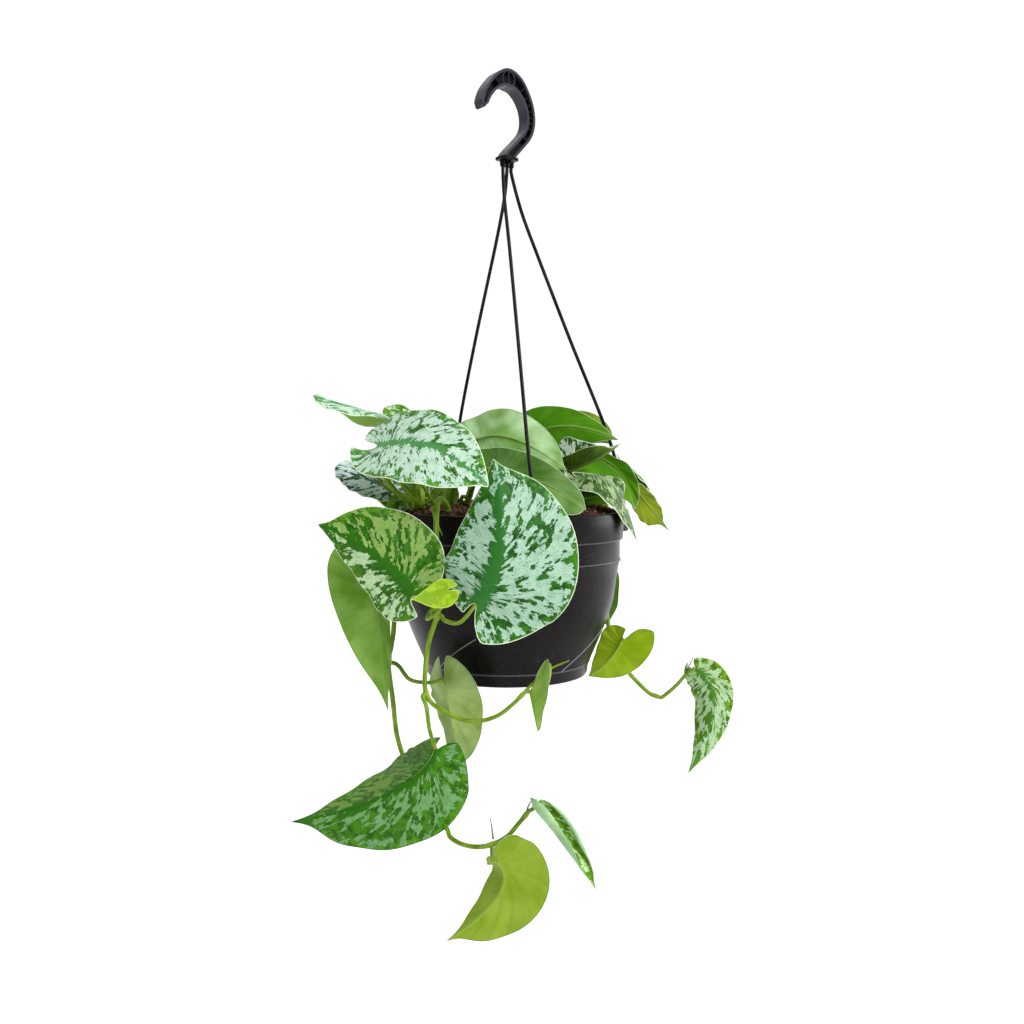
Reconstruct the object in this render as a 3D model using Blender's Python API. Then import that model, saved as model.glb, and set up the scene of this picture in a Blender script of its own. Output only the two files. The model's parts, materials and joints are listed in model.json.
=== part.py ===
"""Satin pothos in a plastic hanging pot.

The frame is in metres with +Z up. Its origin is the seat of the hook, where a rail
would carry the whole thing. X runs to the viewer's right and Y away from the viewer.
Every length below is written in millimetres and is scaled when a mesh is made.
"""
import math

import bmesh
import bpy
import numpy as np
from mathutils import Matrix, Vector

MM = 0.001
# Room between two pieces that rest on or sit in each other
GAP = 0.35

# Pot
RIM_Z = -308.0
POT_SIDES = 36
POT_FOOT = 118.0
DRAIN_HOLES = 5
DRAIN_RADIUS = 3.5
DRAIN_CIRCLE = 34.0

# Lugs of the pot, which hold the wires
LUG_ANGLES = {"front": -78.0, "right": 8.0, "back_left": 122.0}
LUG_WIDTH = 14.0
LUG_HEIGHT = 16.5
LUG_INNER = 83.0
LUG_OUTER = 90.5
WIRE_CIRCLE = 87.6
LUG_ROUND = 1.6
LUG_PROUD = 0.4
BORE_DEPTH = 12.0

# Potting mix: a low mound that falls away at the wall
MIX_CENTRE_DROP = -5.0
MIX_SLOPE = 2.5
MIX_EDGE = 5.5
MIX_RADIUS = 82.0

# Hook
HOOK_TURN = 38.0
HOOK_WIDTH = 10.0
WEB = 2.0
FLANGE = 1.9
RIB = 1.1
RIB_RECESS = 0.5
RIB_FLANK = 0.15
SOLID_END = 0.03
HOOK_STEP = 4.5
HOOK_PLATE = (15.5, 10.5, 2.4)
HOOK_PLATE_Z = -51.0
SOCKET_PITCH = 3.9
SOCKET_TOP = 2.3
SOCKET_END = 2.0
SOCKET_LENGTH = 5.0

# Wires
WIRE_RADIUS = 1.3

# Stems and petioles
STEM_SIDES = 6
STEM_STEP = 8.0
PETIOLE_RADIUS = 1.25
PETIOLE_TAPER = 0.92
SPROUT = 2.0
UNDER_BLADE = 3.0

# Blades: thickness and cup in millimetres, the rest as shares of the blade's length or width
BLADE = 0.9
CUP = -2.0
LEAF_ROWS = 7
LEAF_COLUMNS = 2
LOBE = 0.28
REACH = 0.3
WIDEST = 0.2
POINT = 0.06
ROUNDING = 0.22
EGG = 0.2
EGG_WIDEST = 1.02
VEIN_SWEEP = 0.07

# Route of the hook's middle line in its own plane: across, up, depth of the limb there
HOOK_ROUTE = [
    (-24.2, -17.5, 5.2), (-22.6, -11.8, 6.4), (-19.6, -5.6, 7.4), (-14.6, 0.4, 8.6), (-8.4, 5.2, 11.0),
    (-1.0, 7.2, 13.6), (6.8, 4.6, 11.6), (13.4, -2.6, 9.2), (17.8, -11.6, 8.0), (19.0, -21.8, 7.6),
    (16.2, -30.8, 7.6), (9.2, -39.2, 7.8), (1.8, -46.8, 8.2), (-1.8, -51.6, 8.6),
]
HOOK_RIBS = [0.13, 0.26, 0.36, 0.41, 0.46, 0.515, 0.56, 0.60, 0.64, 0.68, 0.72, 0.80]

# Routes of the wires, from the hook to just above their lugs
WIRES = {
    "front": [(-3.0, -2.4, -54.0), (-3.0, -2.4, -58.0), (-2.9, -3.2, -63.0), (-1.8, -7.0, -82.0),
              (2.0, -22.0, -122.0), (7.6, -43.0, -187.0), (14.0, -70.0, -263.0), (17.2, -81.0, -292.0)],
    "back_left": [(0.0, 0.0, -54.0), (0.0, 0.0, -58.0), (-0.3, 0.6, -63.0), (-2.0, 4.4, -79.0),
                  (-8.2, 17.0, -109.0), (-24.2, 42.0, -178.0), (-36.6, 62.0, -237.0),
                  (-44.4, 71.8, -288.0)],
    "right": [(3.0, 2.4, -54.0), (3.0, 2.4, -58.0), (3.6, 2.6, -63.0), (10.8, 4.2, -89.0),
              (22.0, 6.0, -119.0), (47.0, 9.0, -183.0), (74.0, 11.4, -250.0), (84.6, 12.2, -288.0)],
}

# Stems: the route by hand, where None stands for the top of the mix, and the radius at both ends
STEMS = {
    "vine_left": dict(radius=(1.9, 1.5), route=[
        (-66, -36, None), (-69, -38, -299), (-76, -43, -296), (-81, -47, -303), (-80, -47, -320),
        (-78, -46, -345), (-78, -45, -383), (-80, -45, -400), (-82, -45, -411), (-79, -44, -437),
        (-75, -44, -466), (-63, -46, -495), (-50, -50, -513), (-41, -58, -521), (-38, -64, -525),
        (-30, -71, -527), (-20, -76, -527), (-10, -80, -524), (0, -82, -518), (8, -82, -509),
        (13, -82, -503)]),
    "vine_front": dict(radius=(2.0, 1.3), route=[
        (-40, -60, None), (-42, -66, -299), (-45, -77, -297), (-46, -85, -304), (-46, -88, -320),
        (-45, -89, -345), (-45, -90, -370), (-47, -90, -377), (-51, -90, -390), (-53, -90, -407),
        (-53, -90, -420), (-49, -91, -428), (-39, -94, -434), (-28, -96, -438), (-16, -98, -438),
        (-5, -99, -434), (4, -99, -427), (10, -99, -421)]),
    "vine_right": dict(radius=(2.0, 1.5), route=[
        (58, 24, None), (62, 32, -298), (71, 43, -297), (77, 49, -305), (77, 49, -325),
        (75, 46, -350), (76, 38, -378), (77, 33, -395), (80, 28, -410), (82, 24, -418),
        (88, 20, -427), (97, 16, -437), (106, 12, -445), (112, 10, -447)]),
    "vine_back": dict(radius=(1.9, 1.3), route=[
        (0, 62, None), (-1, 68, -299), (-2, 82, -297), (-2, 91, -304), (0, 92, -330),
        (4, 92, -352), (10, 91, -374), (14, 90, -388)]),
    "crown_left": dict(radius=(2.6, 2.0), route=[
        (-60, -26, None), (-61, -27, -298), (-60, -24, -288), (-58, -20, -279)]),
    "crown_centre": dict(radius=(2.4, 1.8), route=[
        (-28, -18, None), (-27, -19, -297), (-24, -20, -287), (-20, -20, -279)]),
    "crown_right": dict(radius=(2.6, 2.0), route=[
        (28, 4, None), (29, 4, -297), (32, 4, -287), (36, 5, -277)]),
}

# Leaves. Each hangs on a stem at a point of its route. Base, middle and tip are places on the midrib.
# Left and right reach from the midrib to the widest place of each half, seen on the upper side with
# the tip pointing away. The stalk is the petiole's way from the stem to the base.
LEAVES = {
    "leaf_upper_left": dict(
        stem="crown_left", at=0.7, stalk=[(-72, -34, -296), (-84, -44, -290), (-91, -54, -276)],
        base=(-88, -62, -262), mid=(-50, -86, -262), tip=(-12, -106, -288),
        left=(-2, 32, 22), right=(-7, -28, -22)),
    "leaf_front_left": dict(
        stem="vine_front", at=5.2, stalk=[(-50, -92, -357), (-56, -97, -361)],
        base=(-60, -104, -358), mid=(-84, -106, -332), tip=(-122, -96, -312),
        left=(-16, 14, -22), right=(21, 10, 30), lobes=(0.2, 0.12)),
    "leaf_front_centre": dict(
        stem="vine_front", at=6.1, stalk=[(-40, -96, -374), (-30, -104, -374)],
        base=(-20, -108, -362), mid=(-5, -114, -324), tip=(-9, -90, -270),
        left=(-28, 24, 14), right=(55, 3, -3)),
    "leaf_lower_left": dict(
        stem="vine_front", at=10.3, stalk=[(-52, -94, -430), (-50, -93, -445)],
        base=(-46, -90, -458), mid=(-76, -98, -485), tip=(-140, -92, -505),
        left=(14, 1, -40), right=(-16, 33, 3), lobes=(0.2, 0.13)),
    "leaf_left_hanging": dict(
        stem="vine_left", at=5.6, stalk=[(-84, -50, -358), (-90, -57, -348)],
        base=(-91, -62, -351), mid=(-85, -63, -393), tip=(-81, -54, -443),
        left=(-31, -3, 9), right=(7, 7, -12)),
    "leaf_under_pot": dict(
        stem="vine_left", at=8.0, stalk=[(-74, -49, -413), (-66, -58, -420), (-53, -68, -420)],
        base=(-42, -72, -417), mid=(-36, -76, -443), tip=(-36, -70, -478),
        left=(-11, 25, -5), right=(23, -3, -6)),
    "leaf_young_front": dict(
        stem="vine_front", at=17.0, stalk=[(15, -96, -414)],
        base=(22, -97, -407), mid=(21, -100, -427), tip=(19, -94, -446),
        left=(-6, 7, -2), right=(5, 7, 3)),
    "leaf_young_yellow": dict(
        stem="vine_front", at=5.8, stalk=[(-49, -100, -368), (-50, -110, -371), (-42, -116, -364)],
        base=(-37, -116, -352), mid=(-46, -124, -354), tip=(-59, -130, -356),
        left=(4, -2, -9), right=(-1, 3, 8)),
    "leaf_bottom": dict(
        stem="vine_left", at=17.0, stalk=[],
        base=(-9, -88, -530), mid=(-4, -90, -551), tip=(-40, -84, -586),
        left=(-10, 22, -2), right=(30, -4, -6), lobes=(0.06, 0.24)),
    "leaf_bottom_rolled": dict(
        stem="vine_left", at=20.0, stalk=[(17, -82, -500)],
        base=(20, -82, -496), mid=(39, -78, -523), tip=(60, -82, -556),
        left=(26, 19, -16), right=(7, -23, 7)),
    "leaf_right_round": dict(
        stem="vine_right", at=8.4, stalk=[(88, 18, -415), (89, 12, -410)],
        base=(86, 7, -404), mid=(76, 10, -420), tip=(61, 20, -434),
        left=(-10, 10, 11), right=(24, -3, -1), lobes=(0.2, 0.26)),
    "leaf_far_right": dict(
        stem="vine_right", at=13.0, stalk=[(118, 9, -445), (126, 9, -438), (133, 9, -430)],
        base=(138, 5, -425), mid=(150, 0, -452), tip=(133, 4, -503),
        left=(18, -4, -1), right=(-11, 14, -9)),
    "leaf_top_satin": dict(
        stem="crown_centre", at=2.0, stalk=[(-26, -20, -272), (-28, -20, -262)],
        base=(-21, -20, -257), mid=(6, -35, -257), tip=(41, -45, -278),
        left=(6, -13, -28), right=(12, 2, 19)),
    "leaf_top_tongue": dict(
        stem="crown_centre", at=1.2, stalk=[(-24, -34, -290), (-20, -46, -284)],
        base=(-13, -52, -278), mid=(19, -60, -285), tip=(53, -64, -305),
        left=(5, -18, -19), right=(5, 6, 15)),
    "leaf_top_green": dict(
        stem="crown_right", at=1.6, stalk=[(22, 6, -278), (12, 8, -268)],
        base=(10, 2, -262), mid=(39, 1, -247), tip=(82, -3, -257),
        left=(6, -3, -24), right=(1, 8, 21)),
    "leaf_top_behind": dict(
        stem="crown_right", at=2.4, stalk=[(30, 22, -270), (26, 36, -260)],
        base=(26, 45, -262), mid=(55, 48, -248), tip=(81, 40, -260),
        left=(3, 2, -22), right=(10, 4, 17)),
    "leaf_top_folded": dict(
        stem="crown_right", at=1.2, stalk=[(32, -8, -286), (32, -16, -280)],
        base=(42, -17, -276), mid=(61, -24, -272), tip=(81, -28, -259),
        left=(-2, 12, 8), right=(0, -20, 11), lobes=(0.05, 0.12)),
    "leaf_right_green": dict(
        stem="crown_right", at=2.0, stalk=[(48, 10, -278), (60, 6, -269)],
        base=(67, 4, -270), mid=(84, 4, -283), tip=(95, 8, -308),
        left=(-9, -15, -14), right=(19, 0, -7)),
    "leaf_right_curled": dict(
        stem="crown_right", at=0.8, stalk=[(38, -14, -294), (46, -26, -288)],
        base=(51, -30, -283), mid=(76, -35, -292), tip=(93, -20, -332),
        left=(23, 18, -4), right=(-1, -16, -10)),
    "leaf_right_olive": dict(
        stem="crown_right", at=1.4, stalk=[(52, 14, -292), (76, 16, -292)],
        base=(93, 20, -290), mid=(107, 23, -307), tip=(123, 19, -326),
        left=(0, -6, -20), right=(14, 7, -5), lobes=(0.12, 0.2)),
    "leaf_right_thin": dict(
        stem="crown_right", at=2.8, stalk=[(52, 20, -276), (74, 28, -272)],
        base=(90, 35, -275), mid=(105, 38, -288), tip=(113, 36, -307),
        left=(1, 7, -16), right=(3, -7, -2)),
    "leaf_far_left": dict(
        stem="crown_left", at=2.8, stalk=[(-54, 8, -282), (-64, 30, -264), (-78, 34, -248)],
        base=(-88, 26, -238), mid=(-117, 12, -231), tip=(-144, 4, -224),
        left=(-9, -13, -7), right=(-20, 17, 10)),
    "leaf_left_behind": dict(
        stem="crown_left", at=3.0, stalk=[(-54, -12, -268)],
        base=(-52, 0, -263), mid=(-72, 5, -242), tip=(-87, -2, -241),
        left=(-16, -13, -18), right=(-6, 13, 16)),
    "leaf_left_curl": dict(
        stem="crown_left", at=1.3, stalk=[(-70, -30, -296)],
        base=(-78, -32, -295), mid=(-100, -41, -284), tip=(-118, -50, -283),
        left=(-5, -16, -7), right=(-9, 12, 16), lobes=(0.1, 0.2)),
    "leaf_left_inner": dict(
        stem="crown_left", at=1.2, stalk=[(-62, -14, -298)],
        base=(-64, -7, -297), mid=(-72, -7, -288), tip=(-82, -4, -279),
        left=(-14, -11, -1), right=(7, 13, 16)),
    "leaf_back_centre": dict(
        stem="crown_right", at=2.2, stalk=[(36, 28, -290), (35, 54, -290)],
        base=(34, 66, -289), mid=(38, 94, -308), tip=(40, 104, -358),
        left=(-30, 6, -6), right=(30, -6, -6)),
    "leaf_back_left": dict(
        stem="crown_centre", at=1.6, stalk=[(-34, 10, -286), (-54, 34, -288)],
        base=(-66, 42, -290), mid=(-84, 58, -308), tip=(-91, 68, -352),
        left=(-14, -13, -4), right=(20, 18, -4)),
    "leaf_back_low": dict(
        stem="vine_back", at=7.0, stalk=[(17, 92, -393)],
        base=(20, 95, -396), mid=(16, 102, -420), tip=(6, 99, -447),
        left=(-24, 5, 4), right=(25, 5, 2)),
    "leaf_back_right": dict(
        stem="vine_right", at=4.6, stalk=[(76, 60, -338), (66, 78, -338)],
        base=(60, 86, -345), mid=(72, 84, -372), tip=(72, 80, -408),
        left=(-20, 10, -2), right=(24, -16, -10)),
    "leaf_back_side": dict(
        stem="vine_back", at=4.0, stalk=[(-10, 100, -332), (-22, 103, -329)],
        base=(-30, 101, -334), mid=(-43, 94, -366), tip=(-48, 82, -402),
        left=(-22, -14, -4), right=(26, 8, -6)),
}

HOOK_BLACK = (0.012, 0.013, 0.017, 1.0)
WIRE_BLACK = (0.014, 0.014, 0.018, 1.0)
POT_GREY = (0.040, 0.034, 0.040, 1.0)
MIX_BROWN = (0.055, 0.026, 0.018, 1.0)
STEM_GREEN = (0.17, 0.32, 0.045, 1.0)
LEAF_GREEN = (0.14, 0.36, 0.09, 1.0)


def clear_scene():
    """Remove whatever the scene holds."""
    for thing in list(bpy.data.objects):
        bpy.data.objects.remove(thing, do_unlink=True)


def material(name, colour, roughness):
    """A plain finish."""
    made = bpy.data.materials.get(name)
    if made:
        return made
    made = bpy.data.materials.new(name)
    made.use_nodes = True
    shader = made.node_tree.nodes["Principled BSDF"]
    shader.inputs["Base Color"].default_value = colour
    shader.inputs["Roughness"].default_value = roughness
    shader.inputs["Metallic"].default_value = 0.0
    return made


def add(name, mesh, finish=None):
    """Put a mesh into the scene as the named sub-part."""
    piece = bpy.data.objects.new(name, mesh)
    bpy.context.collection.objects.link(piece)
    if finish:
        mesh.materials.append(finish)
    return piece


def cut_guide(piece):
    """Keep a helper solid out of the model: it only cuts or joins."""
    piece.hide_render = True
    piece.display_type = "WIRE"
    return piece


def boolean(piece, other, operation, solver="EXACT"):
    """Join another solid to a piece, or cut it away."""
    step = piece.modifiers.new(operation.title(), "BOOLEAN")
    step.operation = operation
    step.solver = solver
    step.object = cut_guide(other)


def finished(build, name):
    """A mesh made from a bmesh in millimetres, with its faces turned outwards."""
    bmesh.ops.recalc_face_normals(build, faces=build.faces)
    bmesh.ops.scale(build, vec=(MM, MM, MM), verts=build.verts)
    mesh = bpy.data.meshes.new(name)
    build.to_mesh(mesh)
    build.free()
    return mesh


def smooth(points, spacing):
    """Points of a smooth curve through the given ones, about one spacing apart."""
    known = np.array(points, float)
    before = np.vstack([2 * known[0] - known[1], known[:-1]])
    after = np.vstack([known[1:], 2 * known[-1] - known[-2]])
    slopes = (after - before) / 2
    places = []
    for start, end, leave, arrive in zip(known[:-1], known[1:], slopes[:-1], slopes[1:]):
        steps = max(1, round(float(np.linalg.norm(end - start)) / spacing))
        t = np.arange(steps)[:, None] / steps
        places.append((2 * t**3 - 3 * t**2 + 1) * start + (t**3 - 2 * t**2 + t) * leave
                      + (3 * t**2 - 2 * t**3) * end + (t**3 - t**2) * arrive)
    return np.vstack(places + [known[-1:]])


def tube(name, path, radii, sides):
    """A closed round rod along a path, with a radius for each of its points."""
    path = [Vector(p) for p in path]
    build = bmesh.new()
    ahead = path[1:] + path[-1:]
    behind = path[:1] + path[:-1]
    along = [(far - near).normalized() for near, far in zip(behind, ahead)]
    out = along[0].orthogonal().normalized()
    rings = []
    for place, way, radius in zip(path, along, radii):
        out = (out - way * out.dot(way)).normalized()
        over = way.cross(out)
        turns = [2 * math.pi * k / sides for k in range(sides)]
        ring = [place + (out * math.cos(a) + over * math.sin(a)) * radius for a in turns]
        rings.append([build.verts.new(corner) for corner in ring])
    for near, far in zip(rings[:-1], rings[1:]):
        for k in range(sides):
            build.faces.new((near[k], near[(k + 1) % sides], far[(k + 1) % sides], far[k]))
    build.faces.new(rings[0][::-1])
    build.faces.new(rings[-1])
    return finished(build, name)


def turned(name, profile, steps):
    """A solid of revolution about Z from a profile of radius and height pairs."""
    build = bmesh.new()
    corners = [build.verts.new((radius, 0.0, height)) for radius, height in profile]
    edges = [build.edges.new(pair) for pair in zip(corners[:-1], corners[1:])]
    bmesh.ops.spin(build, geom=corners + edges, cent=(0, 0, 0), axis=(0, 0, 1), steps=steps,
                   angle=2 * math.pi)
    bmesh.ops.remove_doubles(build, verts=build.verts, dist=0.001)
    return finished(build, name)


def rod(name, radius_low, radius_high, low, high, sides=12):
    """An upright round solid between two points one above the other, with a radius at each end."""
    build = bmesh.new()
    place = Matrix.Translation((low[0], low[1], (low[2] + high[2]) / 2))
    bmesh.ops.create_cone(build, cap_ends=True, segments=sides, radius1=radius_low, radius2=radius_high,
                          depth=high[2] - low[2], matrix=place)
    return finished(build, name)


def block(name, size, centre, turn, bevel):
    """A box with rounded edges, turned about Z."""
    build = bmesh.new()
    place = Matrix.Translation(centre) @ Matrix.Rotation(turn, 4, "Z")
    bmesh.ops.create_cube(build, size=1.0)
    bmesh.ops.scale(build, vec=size, verts=build.verts)
    if bevel:
        bmesh.ops.bevel(build, geom=build.edges[:], offset=bevel, segments=1, affect="EDGES", profile=0.5)
    bmesh.ops.transform(build, matrix=place, verts=build.verts)
    return finished(build, name)


def outer_wall():
    """The pot's outside, as radius and drop below the rim, from the top down."""
    return [(83.6, 0.0), (84.8, -0.6), (85.2, -1.7), (84.6, -19.0), (83.9, -20.3), (82.5, -20.6),
            (82.2, -34.4), (82.9, -35.0), (82.7, -36.0), (81.8, -36.5), (77.6, -63.5), (70.3, -85.0),
            (60.6, -107.2), (60.3, -109.0), (59.4, -110.2), (58.0, -POT_FOOT)]


def inner_wall():
    """The pot's inside, as radius and drop below the rim, from the floor up."""
    return [(52.0, -113.4), (57.4, -108.6), (61.8, -99.4), (68.3, -84.6), (75.6, -63.2),
            (80.0, -36.0), (81.6, -6.0), (82.8, 0.0)]


def mix_height(radius):
    """Height of the top of the potting mix at a distance from the axis."""
    share = radius / MIX_RADIUS
    return RIM_Z - MIX_CENTRE_DROP - MIX_SLOPE * share**2 - MIX_EDGE * share**10


def lug_place(angle, radius):
    """A point of the lug circle."""
    turn = math.radians(angle)
    return Vector((radius * math.cos(turn), radius * math.sin(turn), 0.0))


def make_pot():
    """The pot with its collar, lugs, foot and drain holes."""
    under = [(50.0, -POT_FOOT), (48.6, -115.6), (0.0, -115.6)]
    profile = outer_wall() + under + [(0.0, -113.4)] + inner_wall()
    profile = [(radius, RIM_Z + drop) for radius, drop in profile]
    pot = add("pot", turned("pot", profile + profile[:1], POT_SIDES), material("pot_plastic", POT_GREY, 0.38))
    for name, angle in LUG_ANGLES.items():
        size = (LUG_OUTER - LUG_INNER, LUG_WIDTH, LUG_HEIGHT)
        centre = lug_place(angle, (LUG_OUTER + LUG_INNER) / 2)
        centre.z = RIM_Z - LUG_HEIGHT / 2 + LUG_PROUD
        lug = block(f"lug_{name}", size, centre, math.radians(angle), LUG_ROUND)
        boolean(pot, add(f"lug_{name}", lug), "UNION")
        low = lug_place(angle, WIRE_CIRCLE) + Vector((0, 0, RIM_Z - BORE_DEPTH))
        high = low + Vector((0, 0, BORE_DEPTH + 3))
        bore = rod(f"bore_{name}", WIRE_RADIUS + GAP, WIRE_RADIUS + GAP, low, high)
        boolean(pot, add(f"bore_{name}", bore), "DIFFERENCE")
    for k in range(DRAIN_HOLES):
        turn = 2 * math.pi * k / DRAIN_HOLES
        low = Vector((DRAIN_CIRCLE * math.cos(turn), DRAIN_CIRCLE * math.sin(turn), RIM_Z - POT_FOOT - 2))
        hole = rod(f"drain_{k}", DRAIN_RADIUS, DRAIN_RADIUS, low, low + Vector((0, 0, 8)))
        boolean(pot, add(f"drain_{k}", hole), "DIFFERENCE")


def make_mix():
    """The potting mix, which fills the pot and is mounded a little above its rim."""
    side = [(radius - GAP, RIM_Z + drop) for radius, drop in inner_wall()[:-1]]
    side[0] = (side[0][0], side[0][1] + GAP)
    rings = [80.0, 76.0, 66.0, 44.0, 0.0]
    top = [(radius, mix_height(radius)) for radius in rings]
    profile = [(0.0, side[0][1])] + side + top
    add("potting_mix", turned("potting_mix", profile, POT_SIDES), material("potting_mix", MIX_BROWN, 0.95))


def hook_stations():
    """Places along the hook's route, with how far its pocket reaches in at each one."""
    fine = smooth(HOOK_ROUTE, HOOK_STEP)
    share = np.linspace(0, 1, len(fine))
    deep = WEB / 2
    shallow = HOOK_WIDTH / 2 - RIB_RECESS
    length = float(np.linalg.norm(np.diff(fine[:, :2], axis=0), axis=1).sum())
    half = RIB / 2 / length
    flank = RIB_FLANK / length
    solid = [(-half, SOLID_END), (1 - SOLID_END, 1 + half)] + [(r - half, r + half) for r in HOOK_RIBS]
    stops = [(0.0, shallow), (1.0, shallow)]
    clear = 2 * flank
    stops += [(s, deep) for s in share if all(s < low - clear or s > high + clear for low, high in solid)]
    for low, high in solid:
        stops += [(s, pocket) for s, pocket in ((low - flank, deep), (low, shallow), (high, shallow),
                                                (high + flank, deep)) if 0 < s < 1]
    stops.sort()
    at = np.array([s for s, _ in stops])
    places = np.column_stack([np.interp(at, share, fine[:, k]) for k in range(3)])
    return places, [pocket for _, pocket in stops]


def make_hook():
    """The hook: an I-section along its route, closed by cross ribs, on a plate with three sockets."""
    places, pockets = hook_stations()
    fine = smooth(HOOK_ROUTE, HOOK_STEP)
    turn = math.radians(HOOK_TURN)
    across = Vector((math.cos(turn), math.sin(turn), 0))
    normal = Vector((-math.sin(turn), math.cos(turn), 0))
    share = np.linspace(0, 1, len(fine))
    ways = np.gradient(fine[:, :2], axis=0)
    build = bmesh.new()
    rings = []
    stations = np.linalg.norm(np.diff(places[:, :2], axis=0), axis=1)
    travelled = np.concatenate([[0], np.cumsum(stations)])
    travelled /= travelled[-1]
    for (x, z, depth), pocket, s in zip(places, pockets, travelled):
        way = Vector((np.interp(s, share, ways[:, 0]), np.interp(s, share, ways[:, 1]))).normalized()
        side = Vector((-way.y, way.x))
        h, w, f = depth / 2, HOOK_WIDTH / 2, FLANGE
        half = [(-h, -w), (-h + f, -w), (-h + f, -pocket), (h - f, -pocket), (h - f, -w), (h, -w)]
        section = half + [(a, -b) for a, b in reversed(half)]
        ring = [across * (x + side.x * a) + normal * b + Vector((0, 0, z + side.y * a)) for a, b in section]
        rings.append([build.verts.new(corner) for corner in ring])
    count = len(rings[0])
    for near, far in zip(rings[:-1], rings[1:]):
        for k in range(count):
            build.faces.new((near[k], near[(k + 1) % count], far[(k + 1) % count], far[k]))
    build.faces.new(rings[0][::-1])
    build.faces.new(rings[-1])
    hook = add("hanger_hook", finished(build, "hanger_hook"), material("hook_plastic", HOOK_BLACK, 0.22))
    plate_low = HOOK_PLATE_Z - HOOK_PLATE[2] / 2
    plate = block("hook_plate", HOOK_PLATE, Vector((0, 0, HOOK_PLATE_Z)), turn, 0.4)
    boolean(hook, add("hook_plate", plate), "UNION")
    for k, name in enumerate(("front", "back_left", "right")):
        top = across * (k - 1) * SOCKET_PITCH + Vector((0, 0, plate_low + 0.8))
        end = top - Vector((0, 0, SOCKET_LENGTH + 0.8))
        boolean(hook, add(f"socket_{name}", rod(f"socket_{name}", SOCKET_END, SOCKET_TOP, end, top)), "UNION")
        deep = Vector((end.x, end.y, WIRES[name][0][2] + GAP))
        bore = rod(f"socket_bore_{name}", WIRE_RADIUS + GAP, WIRE_RADIUS + GAP, end - Vector((0, 0, 1)), deep)
        boolean(hook, add(f"socket_bore_{name}", bore), "DIFFERENCE")


def make_wires():
    """Three rods from the sockets of the hook into the lugs of the pot."""
    for name, route in WIRES.items():
        foot = lug_place(LUG_ANGLES[name], WIRE_CIRCLE)
        seat = [(foot.x, foot.y, RIM_Z + drop) for drop in (6.0, 1.5, -4.0, GAP - BORE_DEPTH)]
        path = smooth(route + seat, 16.0)
        mesh = tube(f"hanger_wire_{name}", path, [WIRE_RADIUS] * len(path), STEM_SIDES)
        add(f"hanger_wire_{name}", mesh, material("wire_plastic", WIRE_BLACK, 0.35))


def stem_route(name):
    """A stem's route, with its foot set on the potting mix."""
    route = STEMS[name]["route"]
    x, y, _ = route[0]
    thick = STEMS[name]["radius"][0]
    foot = mix_height(math.hypot(x, y) - thick) + GAP
    return [(x, y, foot), (x, y, foot + thick)] + [tuple(p) for p in route[1:]]


def stem_radius(name, at):
    """The stem's radius at a point of its route, counted along the route's points."""
    thick, thin = STEMS[name]["radius"]
    return thick + (thin - thick) * at / (len(stem_route(name)) - 1)


def stem_point(name, at):
    """Where a stem is at a point of its route, and its direction there."""
    route = stem_route(name)
    known = np.array(route, float)
    at = at + 1
    index = min(int(at), len(known) - 2)
    before = known[index - 1] if index else 2 * known[0] - known[1]
    after = known[index + 2] if index + 2 < len(known) else 2 * known[-1] - known[-2]
    start, end = known[index], known[index + 1]
    leave, arrive = (end - before) / 2, (after - start) / 2
    t = at - index
    place = ((2 * t**3 - 3 * t**2 + 1) * start + (t**3 - 2 * t**2 + t) * leave
             + (3 * t**2 - 2 * t**3) * end + (t**3 - t**2) * arrive)
    way = ((6 * t**2 - 6 * t) * start + (3 * t**2 - 4 * t + 1) * leave
           + (6 * t - 6 * t**2) * end + (3 * t**2 - 2 * t) * arrive)
    return Vector(place), Vector(way).normalized()


def make_stems():
    """The trailing vines and the short crowns in the pot."""
    for name in STEMS:
        route = stem_route(name)
        known = np.array(route, float)
        path = smooth(route, STEM_STEP)
        gone = np.concatenate([[0], np.cumsum(np.linalg.norm(np.diff(path, axis=0), axis=1))])
        thick, thin = STEMS[name]["radius"]
        radii = thick + (thin - thick) * gone / gone[-1]
        add(name, tube(name, path, list(radii), STEM_SIDES), material("stem_green", STEM_GREEN, 0.4))


def petiole_path(leaf):
    """The petiole's way: square off the stem's skin, along the stalk, and under the blade."""
    place, way = stem_point(leaf["stem"], leaf["at"])
    skin = stem_radius(leaf["stem"], leaf["at"])
    base = Vector(leaf["base"])
    aim = Vector(leaf["stalk"][0]) if leaf["stalk"] else base
    at_end = leaf["at"] >= len(STEMS[leaf["stem"]]["route"]) - 1
    out = way if at_end else ((aim - place) - way * (aim - place).dot(way)).normalized()
    off = GAP if at_end else skin + GAP
    control = np.array(midrib_control(leaf))
    inward = Vector(control - np.array(leaf["base"], float)).normalized()
    points = [place + out * off, place + out * (off + SPROUT)] + [Vector(p) for p in leaf["stalk"]]
    return [tuple(p) for p in points + [base, base + inward * UNDER_BLADE]]


def midrib_control(leaf):
    """The control point that makes a bowed midrib pass through its middle."""
    base, middle, tip = (np.array(leaf[place], float) for place in ("base", "mid", "tip"))
    return 2 * middle - (base + tip) / 2


def carried(side, start, way):
    """A side vector turned as the midrib turns from its start direction to each of the others."""
    axis = np.cross(start, way)
    across = np.cross(axis, side)
    return side + across + np.cross(axis, across) / (1 + (way @ start)[..., None])


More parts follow.
